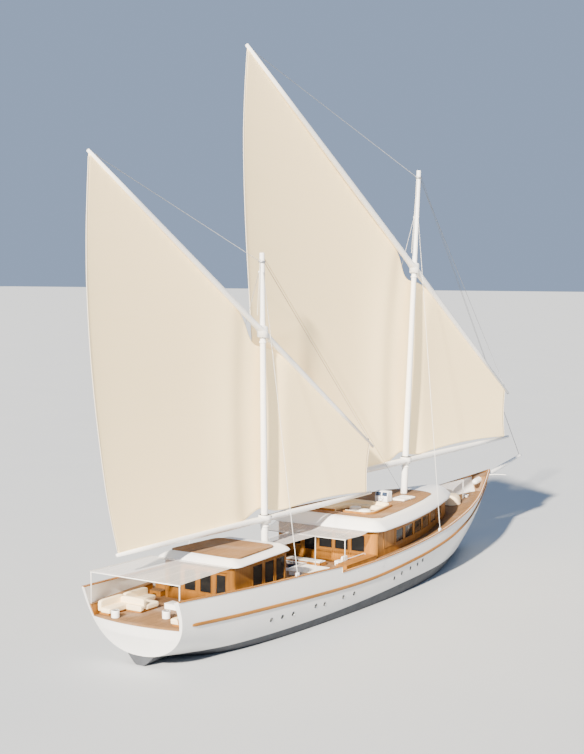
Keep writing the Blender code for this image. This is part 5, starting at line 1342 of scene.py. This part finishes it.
def make_roof_cockpit():
    """The sunk seating well on the main roof: rim, lining, seats, tables, helm and sun pad."""
    def edge(inset):
        return dense_outline(COCKPIT, inset, 0.5)

    def rise(base, *rows):
        return [(share, base + up) for share, up in rows]

    profile = rise(MAIN_TOP, (0.0, 0.001), (0.0, 0.085), (0.12, 0.1), (0.88, 0.1), (1.0, 0.085), (1.0, 0.001))
    set_piece(open_ring("cockpit_rim_bar", edge(-0.1), edge(0.0), profile, 0, 0.23, 0.23, 40), rail_wood, "vessel",
              ("cockpit_rim",))
    low, high = COCKPIT_FLOOR + 0.004, MAIN_TOP + 0.01
    ring_stack("cockpit_lining", [(edge(-0.02), high), (edge(0.0), high), (edge(0.004), low), (edge(-0.02), low)],
               roof_paint)
    ring_stack("cockpit_sole", [(edge(0.003), COCKPIT_FLOOR - 0.02), (edge(0.003), COCKPIT_FLOOR + 0.008)],
               deck_planks, closed=False)
    # Bench: one long cushion round the well, crowned across its width, with a narrow pad behind it
    back, behind = [dense_outline(COCKPIT, inset, corner, 0, 10, 30) for inset, corner in ((0.012, 0.5), (0.09, 0.45))]
    front = resample(dense_outline(COCKPIT_WELL, 0.0, 0.2, 0, 10, 30), back)
    profile = rise(COCKPIT_FLOOR + 0.01, (0.0, 0.0), (0.0, 0.171), (0.03, 0.1862), (0.25, 0.19), (0.6, 0.19),
                   (0.95, 0.1843), (1.0, 0.1634), (1.0, 0.019), (0.97, 0.0))
    set_pad(open_ring("cockpit_seat", back, front, profile, 0.3, 0.26, 0.25, 60), upholstery, ("cockpit_bench",))
    profile = rise(COCKPIT_FLOOR, (0.0, 0.2), (0.0, 0.33), (0.3, 0.36), (0.8, 0.35), (1.0, 0.31), (1.0, 0.2))
    set_pad(open_ring("cockpit_backrest", back, behind, profile, 0.3, 0.26, 0.25, 60), upholstery)
    for number, (x, y, radius) in enumerate(COCKPIT_TABLES):
        low, tall = COCKPIT_FLOOR + 0.008, 0.15 + 0.015 * number
        rows = [(0.001, low), (radius * 0.9, low), (radius * 0.98, low + 0.02), (radius, low + tall * 0.5),
                (radius * 0.97, low + tall - 0.03), (radius * 0.85, low + tall - 0.006),
                (radius * 0.5, low + tall), (0.001, low + tall)]
        set_pad(turned(f"cockpit_pouf_{number}", (x, y, 0), rows, 36, angle=50), white_fabric,
                () if number else ("cockpit_table",))
    make_helm()
    make_pads("roof_sun_pad", split((3.0, -1.18, MAIN_TOP + 0.016), (4.15, -0.45, MAIN_TOP + 0.12), 0, 2),
              white_fabric, ("roof_sun_pad",), 0.06)


# Rig

class RigPlane:
    """Places in a rig's plane: u forward, v up along the mast and w to port."""

    def __init__(self, mast, trim_deg=TRIM_DEG):
        rake, turn = math.radians(mast["rake"]), math.radians(trim_deg)
        self.foot = np.array([mast["foot_x"], 0, DECK_Z])
        self.up = np.array([math.sin(rake), 0, math.cos(rake)])
        level = np.array([math.cos(rake), 0, -math.sin(rake)])
        self.forward = level * math.cos(turn) + np.array([0, -1.0, 0]) * math.sin(turn)
        self.port = np.cross(self.up, self.forward)

    def at(self, u, v, w=0.0):
        u, v, w = [np.asarray(a, float)[..., None] for a in np.broadcast_arrays(u, v, w)]
        return self.foot + self.forward * u + self.up * v + self.port * w


def mast_radius(mast, v):
    """A mast tapers evenly from its foot to its top."""
    return mast["foot_r"] + (mast["top_r"] - mast["foot_r"]) * v / mast["height"]


def spar_line(ends, u):
    """Height of the straight line between a spar's ends at a place along it."""
    start, end = np.array(ends)
    return start[1] + (end[1] - start[1]) * (u - start[0]) / (end[0] - start[0])


def sail_places(mast, rig, s, r):
    """The sail's place in the rig's plane from shares along the foot and up: straight lines from
    boom to yard, bowed at the after and forward edges, bellied to port by sines."""
    peak, heel, clew, tack = [np.array(rig[k], float) for k in ("peak", "heel", "clew", "tack")]
    along = (heel - peak) / np.linalg.norm(heel - peak)
    below = np.array([along[1], -along[0]])
    head = peak + (heel - peak) * (0.003 + 0.982 * s)[..., None]
    foot = clew + (tack - clew) * (0.004 + 0.976 * s)[..., None]
    drop = rig["yard_r"] * 0.3 + EYE_HALF["yard"] * 1.4 * np.exp(-(head[..., 0] / 0.7) ** 2)
    lift = rig["boom_r"] * 0.3 + EYE_HALF["boom"] * 1.4 * np.exp(-(foot[..., 0] / 0.7) ** 2)
    lift = lift + np.where(foot[..., 0] > 0, 0.22 * np.sin(math.pi * np.clip(foot[..., 0] / tack[0], 0, 1)), 0)
    head = head + below * drop[..., None]
    foot = foot + np.array([0, 1.0]) * lift[..., None]
    u, v = np.moveaxis(foot + (head - foot) * r[..., None], -1, 0)
    u = u - curve_value(rig["leech"], r, 1) * (1 - s) ** 2 - rig["hollow"] * np.sin(math.pi * r) * s ** 2
    round_mast = (mast_radius(mast, v) + 0.09) * np.exp(-(u / 1.3) ** 4)
    belly = rig["belly"] * np.sin(math.pi * s) ** 0.8 * np.sin(math.pi * np.minimum(r * 0.9 + 0.05, 1)) ** 0.8
    belly = belly * np.where(u > 0, 0.45 + 0.55 * np.exp(-np.maximum(u, 0)), 1.0)
    near = 1 - 0.65 * np.exp(-(u / 2.0) ** 2)
    return u, v, np.maximum(round_mast, 0) + belly * near


def make_sail(name, mast, rig):
    """The sail's cloth, with shallow furrows near the spars where the lacing pulls it, and its edge
    ropes. Seams run square to the leech, so the cut's second number rises along the leech."""
    s, r = np.meshgrid(np.linspace(0, 1, 150), np.linspace(0, 1, 110), indexing="ij")
    u, v, w = sail_places(mast, rig, s, r)
    lace = 0.003 * np.cos(s * 2 * math.pi * 34) * (np.exp(-((1 - r) / 0.05) ** 2) + 0.7 * np.exp(-(r / 0.05) ** 2))
    w = w + lace * np.sin(math.pi * np.clip(s, 0, 1)) ** 0.3
    points = RigPlane(mast).at(u, v, w)
    step_s = np.linalg.norm(np.diff(points, axis=0), axis=-1)
    step_r = np.linalg.norm(np.diff(points, axis=1), axis=-1)
    cut_u = np.concatenate([np.zeros((1, s.shape[1])), np.cumsum(step_s, axis=0)], 0)
    cut_v = np.concatenate([np.zeros((len(s), 1)), np.cumsum(step_r, axis=1)], 1)
    uv = np.stack([cut_u, np.interp(v, v[0], cut_v[0])], -1)
    sail = skin(name + "_sail_cloth", points, around=False, uv=uv)
    thicken(sail, settings().sail_thickness, 0.0)
    set_piece(sail, sailcloth, name + "_rig", (name + "_sail",))
    for label, line in (("leech", points[0]), ("luff", points[-1])):
        set_piece(tube(f"{name}_{label}_rope", line[1:-1], 0.016, 8), sail_edge, name + "_rig")


def make_mast(name, mast):
    """A tapered mast with a collar under each eye, and a cap that is rounded at the top."""
    rows = [(-0.03 if name == "main" else 0.0, 0.0), (1.0, 0.0)]
    for spar in ("boom", "yard"):
        base = mast[spar + "_v"] - EYE_HALF[spar] - 0.07
        rows += [(base - 0.01, 0.0), (base - 0.003, 0.024), (base, 0.03), (base + 0.062, 0.03),
                 (base + 0.0695, 0.026), (base + 0.0696, 0.0)]
    v, extra = np.transpose(rows + [(mast["height"] - 0.012, 0.0), (mast["height"], -0.012)])
    path = RigPlane(mast, 0).at(np.zeros(len(v)), v)
    set_piece(tube(name + "_mast_spar", path, mast_radius(mast, v) + extra, 40, angle=30), spar_paint, "vessel",
              (name + "_mast",))


def make_spar(name, spar, plane, ends):
    """A yard or boom. The eye round the mast keeps its bore and is pressed towards the spar's line."""
    item = smooth_copy(f"{name}_{spar}", f"{name}_{spar}_spar", spar_paint, name + "_rig", 50)
    points = np.zeros(len(item.data.vertices) * 3)
    item.data.vertices.foreach_get("co", points)
    points = points.reshape(-1, 3)
    local = points - plane.foot
    u, v = local @ plane.forward, local @ plane.up
    press = EYE_PRESS * np.exp(-(u / 0.5) ** 2)
    points -= plane.up * ((v - spar_line(ends, u)) * press)[:, None]
    item.data.vertices.foreach_set("co", points.ravel())
    item.data.update()


def make_collars(name, mast, rig, plane):
    """A dark strip along the boom's top forward of the mast, which is painted shade standing for the shadow inside the
    boom's slot, and dark rings round the mast.
    """
    u = np.linspace(0.32, 1.40, 24)
    eye = np.exp(-(u / 0.495) ** 2)
    v = (spar_line((rig["clew"], rig["tack"]), u)
         + rig["boom_r"] * (1 + 0.35 * eye) * 0.97 * (1 - EYE_PRESS * np.exp(-(u / 0.5) ** 2)))
    wide = 0.028 * np.clip(np.minimum(u - 0.30, 1.42 - u) / 0.05, 0.15, 1) ** 0.5
    angle = circle(10)
    slot = plane.at(np.repeat(u[:, None], 10, 1), v[:, None] + 0.018 * np.sin(angle)[None, :],
                    wide[:, None] * np.cos(angle)[None, :])
    # Painted shade: a dark solid strip stands for the shadow inside the slot
    set_piece(skin(name + "_boom_slot", slot), dark_trim_and_painted_shade, name + "_rig")
    around = circle(40)[:, None]
    for spar in ("boom", "yard"):
        v_eye = mast[spar + "_v"] + rig[spar + "_r"] * 1.35 - 0.012
        radius = mast_radius(mast, v_eye) + 0.045 + 0.016 * np.cos(angle)
        ring = plane.at(radius * np.cos(around), v_eye + 0.02 * np.sin(angle), radius * np.sin(around))
        set_piece(skin(f"{name}_{spar}_ring", ring, around=True, along=True), dark_trim_and_painted_shade, name + "_rig")


def set_stay(name, start, end, stands_for=()):
    """A straight wire between two points."""
    start, end = np.array(start), np.array(end)
    line = start + (end - start) * np.linspace(0, 1, 20)[:, None]
    set_piece(tube(name, line, 0.0075, 8), dark_wire, "vessel", stands_for)


def make_rig():
    """Masts, yards, booms, sails, wires and their fittings."""
    for name, mast in MASTS.items():
        rig, plane = RIGS[name], RigPlane(mast)
        make_mast(name, mast)
        make_spar(name, "yard", plane, (rig["peak"], rig["heel"]))
        make_spar(name, "boom", plane, (rig["clew"], rig["tack"]))
        make_sail(name, mast, rig)
        smooth_copy(name + "_lifts", name + "_lift_wires", grey_wire, name + "_rig")
        for side, _ in SIDES:
            smooth_copy(f"{name}_shroud_{side}", f"{name}_shroud_wire_{side}", white_wire)
        make_collars(name, mast, rig, plane)
        # Halyard from the masthead down to the yard, just aft of the mast
        line = RigPlane(mast, 0).at(np.linspace(-0.13, -0.36, 12),
                                    np.linspace(mast["height"] - 0.25, mast["yard_v"] + rig["yard_r"] + 0.55, 12))
        set_piece(tube(name + "_halyard", line, 0.012, 10), rope)
    head = RigPlane(MASTS["main"], 0).at(0.06, 17.08)
    for number, side in enumerate((0.04, -0.04)):
        set_stay(f"forestay_wire_{number}", head + [0, side, 0], (18.74, side * 0.2, 3.90),
                 () if number else ("forestay",))
    set_stay("mizzen_stay_wire", RigPlane(MASTS["mizzen"], 0).at(0.06, 12.93), (4.42, -0.42, 3.556),
             ("mizzen_stay",))
    plate = [(POLE, 0), (0.05, 0), (0.05, 0.008), (0.02, 0.014), (0.02, 0.05), (POLE, 0.055)]
    set_piece(turned("mizzen_stay_plate", (4.42, -0.42, MAIN_TOP + 0.015), plate, 24), steel)
    smooth_copy("bowsprit", "bowsprit_spar", spar_paint, "vessel", 50)
    share = np.array([0.0, 0.02, 0.06, 0.13, 0.3, 0.6, 0.9, 0.97, 1.0])
    heel = np.array([12.86, 0, 3.085]) + np.array([1.35, 0, 0.174]) * share[:, None]
    radius = [0.02, 0.085, 0.125, 0.15, 0.155, 0.152, 0.148, 0.14, 0.128]
    set_piece(tube("bowsprit_heel", heel, radius, 28, angle=60), spar_paint)


def set_awning(node, grid, slack=0.0):
    """A stretched cloth over a grid of places, sagging a little between its edges."""
    a, b = [np.linspace(0, 1, count) for count in grid.shape[:2]]
    grid[..., 2] -= slack * np.sin(math.pi * a)[:, None] * np.sin(math.pi * b)[None, :]
    cloth = skin(node + "_cloth", grid, around=False, uv=grid[..., :2].copy())
    turn_up(cloth)
    thicken(cloth, 0.004)
    set_piece(cloth, awning_cloth, "vessel", (node,))


def make_awnings():
    """Thin cloth roofs over the decks, their posts and two edge ropes."""
    for node in ("aft_awning_frame", "middle_awning_frame", "fore_awning_post"):
        smooth_copy(node, node + "_tubes", spar_paint)
    # Aft: the after and side edges are cut hollow
    s, t = np.meshgrid(np.linspace(0, 1, 20), np.linspace(0, 1, 26), indexing="ij")
    x = -14.74 + 3.40 * s + 0.10 * np.sin(math.pi * t) * (1 - s) ** 2
    y = (2.03 - 0.13 * s) * (2 * t - 1) * (1 - 0.03 * np.sin(math.pi * s))
    grid = np.stack([x, y, np.full(x.shape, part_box("aft_awning")[1].z)], -1)
    set_awning("aft_awning", grid, 0.012)
    # Middle: a narrow strip aft, then a broad cloth whose fore edge rises
    place = np.concatenate([np.linspace(-6.33, -3.82, 16), np.linspace(-3.79, -2.215, 14)])[:, None]
    half = np.where(place < -3.805, 0.62 + 0.1 * (place + 6.33) / 2.53, 2.12 + 0.18 * (place + 3.8) / 1.52)
    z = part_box("middle_awning")[1].z + 0.09 * np.clip((place + 3.0) / 0.7, 0, 1) ** 2
    y = half * np.linspace(-1, 1, 28)
    grid = np.stack([np.repeat(place, 28, 1), y, np.repeat(z, 28, 1)], -1)
    set_awning("middle_awning", grid)
    # Fore: a fan from the roof's round nose to the post
    s, t = np.meshgrid(np.linspace(0, 1, 20), np.linspace(-1, 1, 17), indexing="ij")
    start_x = 9.12 - 0.82 * np.abs(t) ** 3.0
    x = start_x + (11.66 - start_x) * s
    y = (0.98 * power(t, 0.8) * (1 - s) + 0.06 * t * s) * (1 - 0.12 * np.sin(math.pi * s))
    set_awning("fore_awning", np.stack([x, y, 3.38 + 0.0135 + (x - 11.6) * 0.05], -1))
    for side, sign in SIDES:
        path = [(-14.73, sign * 2.0, 3.19), (-13.0, sign * 1.93, 3.185), (-11.4, sign * 1.87, 3.19)]
        set_piece(tube("aft_awning_rope_" + side, path, 0.008, 8), rope)


# Fittings

def make_portholes():
    """A steel ring and a pane along the hull's own slope at each porthole."""
    ring = [(0.098, -0.03), (0.098, 0.006), (0.092, 0.014), (0.084, 0.012), (0.078, 0.002), (0.078, -0.03)]
    pane = [(POLE, -0.006), (0.08, -0.006), (0.08, 0.004), (POLE, 0.006)]
    for side, sign in SIDES:
        for number, (x, z) in enumerate(PORTHOLES):
            slope_x = float(half_breadth(x + 0.05, z) - half_breadth(x - 0.05, z)) / 0.1
            slope_z = float(half_breadth(x, z + 0.05) - half_breadth(x, z - 0.05)) / 0.1
            normal = Vector((-slope_x, 1.0, -slope_z)).normalized()
            normal.y *= sign
            centre = (x, sign * float(half_breadth(x, z)), z)
            item = turned(f"porthole_ring_{side}_{number}", centre, ring, 28, normal, along=True, caps=False)
            set_piece(item, steel)
            set_piece(turned(f"porthole_glass_{side}_{number}", centre, pane, 28, normal), smoked_glass)


def make_dome():
    """The domed foredeck locker: rings that shrink as a rounded arch over the sloping deck."""
    turn = circle(48)
    out = np.stack([np.cos(turn), np.sin(turn), 0 * turn], -1)

    def ring(size, height):
        flat = np.array([10.3, 0]) + out[:, :2] * (np.array([0.5, 0.44]) * size)
        return np.concatenate([flat, (fore_deck_z(flat[:, 0]) + height)[:, None]], -1)

    rows = [ring(max(np.cos(t) ** 0.42, 0.002), 0.001 + 0.49 * np.sin(t) ** 0.9)
            for t in np.linspace(0, 1, 16) * math.pi / 2]
    set_pad(skin("dome_locker", rows, angle=60), upholstery, ("foredeck_dome",))
    set_piece(hoop("dome_piping", ring(1.0, 0.02), out, (0, 0, 1.0), 0.012), piping)


def make_fittings():
    """Portholes, cleats, foredeck gear, lamps, the anchor's arm and the underwater gear."""
    make_portholes()
    make_dome()
    foot = [(POLE, 0.0), (0.02, 0.0), (0.013, 0.02), (0.011, 0.058), (POLE, 0.058)]
    bar = ((-0.09, 0.052), (-0.045, 0.06), (0, 0.062), (0.045, 0.06), (0.09, 0.052))
    cleats = [(x, sign * y) for x, y in ((12.2, 0.62), (9.2, 1.45), (-13.9, 2.05)) for _, sign in SIDES]
    for number, (x, y) in enumerate(cleats):
        z = float(fore_deck_z(x)) if x > 0 else LEDGE_TOP + 0.016
        horn = [(x + dx, y, z + up) for dx, up in bar]
        set_piece(tube(f"cleat_horn_{number}", horn, [0.006, 0.011, 0.013, 0.011, 0.006], 12), steel)
        for k, dx in enumerate((-0.03, 0.03)):
            set_piece(turned(f"cleat_foot_{number}_{k}", (x + dx, y, z), foot, 16), steel)
    drum = [(POLE, -0.13), (0.05, -0.13), (0.055, -0.11), (0.035, -0.08), (0.035, 0.08), (0.055, 0.11), (0.05, 0.13),
            (POLE, 0.13)]
    z = float(fore_deck_z(12.0))
    set_piece(turned("windlass_drum", (12.0, 0, z + 0.10), drum, 28, (0, 1, 0)), steel)
    set_boxes(("windlass_base", (11.92, -0.07, z - 0.01), (12.08, 0.07, z + 0.09), 0.01, roof_paint))
    arm = [(14.16, -0.26, 3.36), (14.30, -0.5, 3.385), (14.42, -0.8, 3.39), (14.53, -1.08, 3.38)]
    set_piece(tube("anchor_arm", arm, [0.022, 0.018, 0.015, 0.012], 12), spar_paint)
    shell = [(POLE, 0.0), (0.03, 0.0), (0.036, 0.012), (0.036, 0.017), (POLE, 0.017)]
    for number, (x, y) in enumerate(((-11.1, 1.2), (-11.1, -1.2), (-2.05, 1.9), (-2.05, -1.9), (-2.05, 0.3))):
        set_piece(turned(f"eaves_lamp_{number}", (x, y, CEILING_Z - 0.03), shell, 20), lamp)
    # Deadwood under the counter: a wedge from the boot line down to just above the rudder
    x = np.linspace(-14.40, -12.7, 10)[:, None]
    z = np.linspace(0.02, 0.43, 8)
    y = 0.17 + 0.46 * ((z - 0.02) / 0.41) ** 0.8
    loop_y, loop_z = np.concatenate([-y[::-1], y]), np.concatenate([z[::-1], z])
    wedge = np.stack(np.broadcast_arrays(x + 0.12 * loop_z * (x < -14), loop_y, loop_z), -1)
    set_piece(skin("stern_deadwood", wedge, angle=30), bottom_paint)
    smooth_copy("rudder", "rudder_blade", bottom_paint, "rudder")
    turn = circle(20)
    for side, sign in SIDES:
        smooth_copy("propeller_" + side, "screw_" + side, bronze, "propeller_" + side, 80)
        path = [(x, sign * SHAFT_Y, SHAFT_Z) for x in (-11.349, -9.0, -5.5)]
        set_piece(tube("shaft_tube_" + side, path, 0.05, 20), bottom_paint)
        rows = [np.stack([-11.1 + 0.14 * np.cos(turn), sign * (SHAFT_Y - 0.13 * share) + 0.025 * np.sin(turn),
                          np.full(20, SHAFT_Z + share * 1.1)], -1) for share in np.linspace(0, 1, 6)]
        set_piece(skin("shaft_bracket_" + side, rows), bottom_paint)


# Stage

def make_stage():
    """A pale floor at the waterline, soft light from astern and the camera."""
    scene = bpy.context.scene
    mesh = bpy.data.meshes.new("floor")
    mesh.from_pydata([(-500, -500, 0), (1500, -500, 0), (1500, 1500, 0), (-500, 1500, 0)], [], [(0, 1, 2, 3)])
    mesh.materials.append(look(floor))
    ground = bpy.data.objects.new("floor", mesh)
    scene.collection.objects.link(ground)
    world = scene.world or bpy.data.worlds.new("studio")
    scene.world = world
    world.use_nodes = True
    back = world.node_tree.nodes.get("Background")
    back.inputs[0].default_value = (0.50, 0.66, 0.95, 1.0)
    back.inputs[1].default_value = settings().sky_strength
    sun = bpy.data.lights.new("sun", "SUN")
    sun.energy = settings().sun_strength
    sun.angle = math.radians(2.5)
    sun.color = (1.0, 0.90, 0.76)
    light = bpy.data.objects.new("sun", sun)
    scene.collection.objects.link(light)
    light.rotation_euler = Vector(SUN_WAY).to_track_quat("-Z", "Y").to_euler()
    camera = bpy.data.cameras.new("camera")
    camera.lens = LENS_MM
    camera.sensor_fit = "VERTICAL"
    camera.sensor_height = 36
    camera.clip_end = 4000
    eye = bpy.data.objects.new("camera", camera)
    scene.collection.objects.link(eye)
    psi, pitch, roll = [math.radians(a) for a in EYE_TURN_DEG]
    ahead = Vector((math.cos(psi) * math.cos(pitch), math.sin(psi) * math.cos(pitch), -math.sin(pitch)))
    level = ahead.cross(Vector((0, 0, 1))).normalized()
    above = level.cross(ahead)
    right = level * math.cos(roll) + above * math.sin(roll)
    upward = -level * math.sin(roll) + above * math.cos(roll)
    turn = Matrix((right, upward, -ahead)).transposed().to_4x4()
    eye.matrix_world = Matrix.Translation(EYE) @ turn
    scene.camera = eye


# Add-on

class DhowSettings(bpy.types.PropertyGroup):
    """Sizes and colours that a user may change."""
    hull_colour: bpy.props.FloatVectorProperty(
        name="Topsides", description="Paint above the boot line", subtype="COLOR",
        default=(0.80, 0.79, 0.77), min=0, max=1)
    bottom_colour: bpy.props.FloatVectorProperty(
        name="Bottom", description="Paint below the boot line", subtype="COLOR",
        default=(0.060, 0.066, 0.078), min=0, max=1)
    wood_colour: bpy.props.FloatVectorProperty(
        name="Varnished wood", description="Walls, rails and strakes", subtype="COLOR",
        default=(0.35, 0.147, 0.024), min=0, max=1)
    teak_colour: bpy.props.FloatVectorProperty(
        name="Teak", description="Deck planks", subtype="COLOR",
        default=(0.235, 0.128, 0.054), min=0, max=1)
    sail_colour: bpy.props.FloatVectorProperty(
        name="Sails", description="Cream sailcloth", subtype="COLOR",
        default=(1.0, 0.78, 0.43), min=0, max=1)
    plank_width: bpy.props.FloatProperty(
        name="Plank width", description="Width of one deck plank", default=0.055, min=0.02, max=0.2,
        unit="LENGTH")
    sail_thickness: bpy.props.FloatProperty(
        name="Sail thickness", description="Thickness of the sailcloth", default=0.008, min=0.002, max=0.02,
        unit="LENGTH")
    # Painted light: the sail glow is emission that brightens the cloth as if sunlit; no light passes through the cloth
    painted_sail_glow: bpy.props.FloatProperty(
        name="Sail glow", description="Light that shines through the cloth", default=0.8, min=0, max=2)
    sun_strength: bpy.props.FloatProperty(
        name="Sun", description="Strength of the key light", default=19.0, min=0)
    sky_strength: bpy.props.FloatProperty(
        name="Sky", description="Strength of the surrounding light", default=0.65, min=0)


class DHOW_OT_hull(bpy.types.Operator):
    """Makes the painted hull with its bulwarks"""
    bl_idname = "dhow.hull"
    bl_label = "Hull"

    def execute(self, context):
        make_hull()
        return {"FINISHED"}


class DHOW_OT_rails(bpy.types.Operator):
    """Makes the cap rail, strakes and stem bar"""
    bl_idname = "dhow.rails"
    bl_label = "Rails"

    def execute(self, context):
        make_rails()
        return {"FINISHED"}


class DHOW_OT_decks(bpy.types.Operator):
    """Makes the planked decks and ledges"""
    bl_idname = "dhow.decks"
    bl_label = "Decks"

    def execute(self, context):
        make_decks()
        return {"FINISHED"}


class DHOW_OT_houses(bpy.types.Operator):
    """Makes the deckhouses and their roofs"""
    bl_idname = "dhow.houses"
    bl_label = "Houses"

    def execute(self, context):
        make_houses()
        return {"FINISHED"}


class DHOW_OT_cockpit(bpy.types.Operator):
    """Makes the seating well on the main roof"""
    bl_idname = "dhow.cockpit"
    bl_label = "Roof cockpit"

    def execute(self, context):
        make_roof_cockpit()
        return {"FINISHED"}


class DHOW_OT_furniture(bpy.types.Operator):
    """Makes the seats, tables and pool"""
    bl_idname = "dhow.furniture"
    bl_label = "Furniture"

    def execute(self, context):
        make_furniture()
        return {"FINISHED"}


class DHOW_OT_rig(bpy.types.Operator):
    """Makes the masts, spars, sails and wires"""
    bl_idname = "dhow.rig"
    bl_label = "Rig"

    def execute(self, context):
        make_rig()
        return {"FINISHED"}


class DHOW_OT_awnings(bpy.types.Operator):
    """Makes the cloth roofs and their posts"""
    bl_idname = "dhow.awnings"
    bl_label = "Awnings"

    def execute(self, context):
        make_awnings()
        return {"FINISHED"}


class DHOW_OT_fittings(bpy.types.Operator):
    """Makes the small fittings and the underwater gear"""
    bl_idname = "dhow.fittings"
    bl_label = "Fittings"

    def execute(self, context):
        make_fittings()
        return {"FINISHED"}


class DHOW_OT_stage(bpy.types.Operator):
    """Makes the floor, the light and the camera"""
    bl_idname = "dhow.stage"
    bl_label = "Stage"

    def execute(self, context):
        make_stage()
        return {"FINISHED"}


OPERATORS = (DHOW_OT_hull, DHOW_OT_rails, DHOW_OT_decks, DHOW_OT_houses, DHOW_OT_cockpit, DHOW_OT_furniture,
             DHOW_OT_rig, DHOW_OT_awnings, DHOW_OT_fittings, DHOW_OT_stage)


class DHOW_PT_panel(bpy.types.Panel):
    """Lists the dhow's settings and groups of pieces."""
    bl_label = "Sailing Dhow"
    bl_idname = "DHOW_PT_panel"
    bl_space_type = "VIEW_3D"
    bl_region_type = "UI"
    bl_category = "Dhow"

    def draw(self, context):
        for key in DhowSettings.__annotations__:
            self.layout.prop(context.scene.dhow, key)
        for made in OPERATORS:
            self.layout.operator(made.bl_idname)


CLASSES = (DhowSettings,) + OPERATORS + (DHOW_PT_panel,)


def register():
    for made in CLASSES:
        bpy.utils.register_class(made)
    bpy.types.Scene.dhow = bpy.props.PointerProperty(type=DhowSettings)


def unregister():
    del bpy.types.Scene.dhow
    for made in reversed(CLASSES):
        bpy.utils.unregister_class(made)


def main():
    """Makes every group in order."""
    register()
    for made in OPERATORS:
        group, name = made.bl_idname.split(".")
        getattr(getattr(bpy.ops, group), name)()
    bpy.context.view_layer.update()


if __name__ == "__main__":
    main()
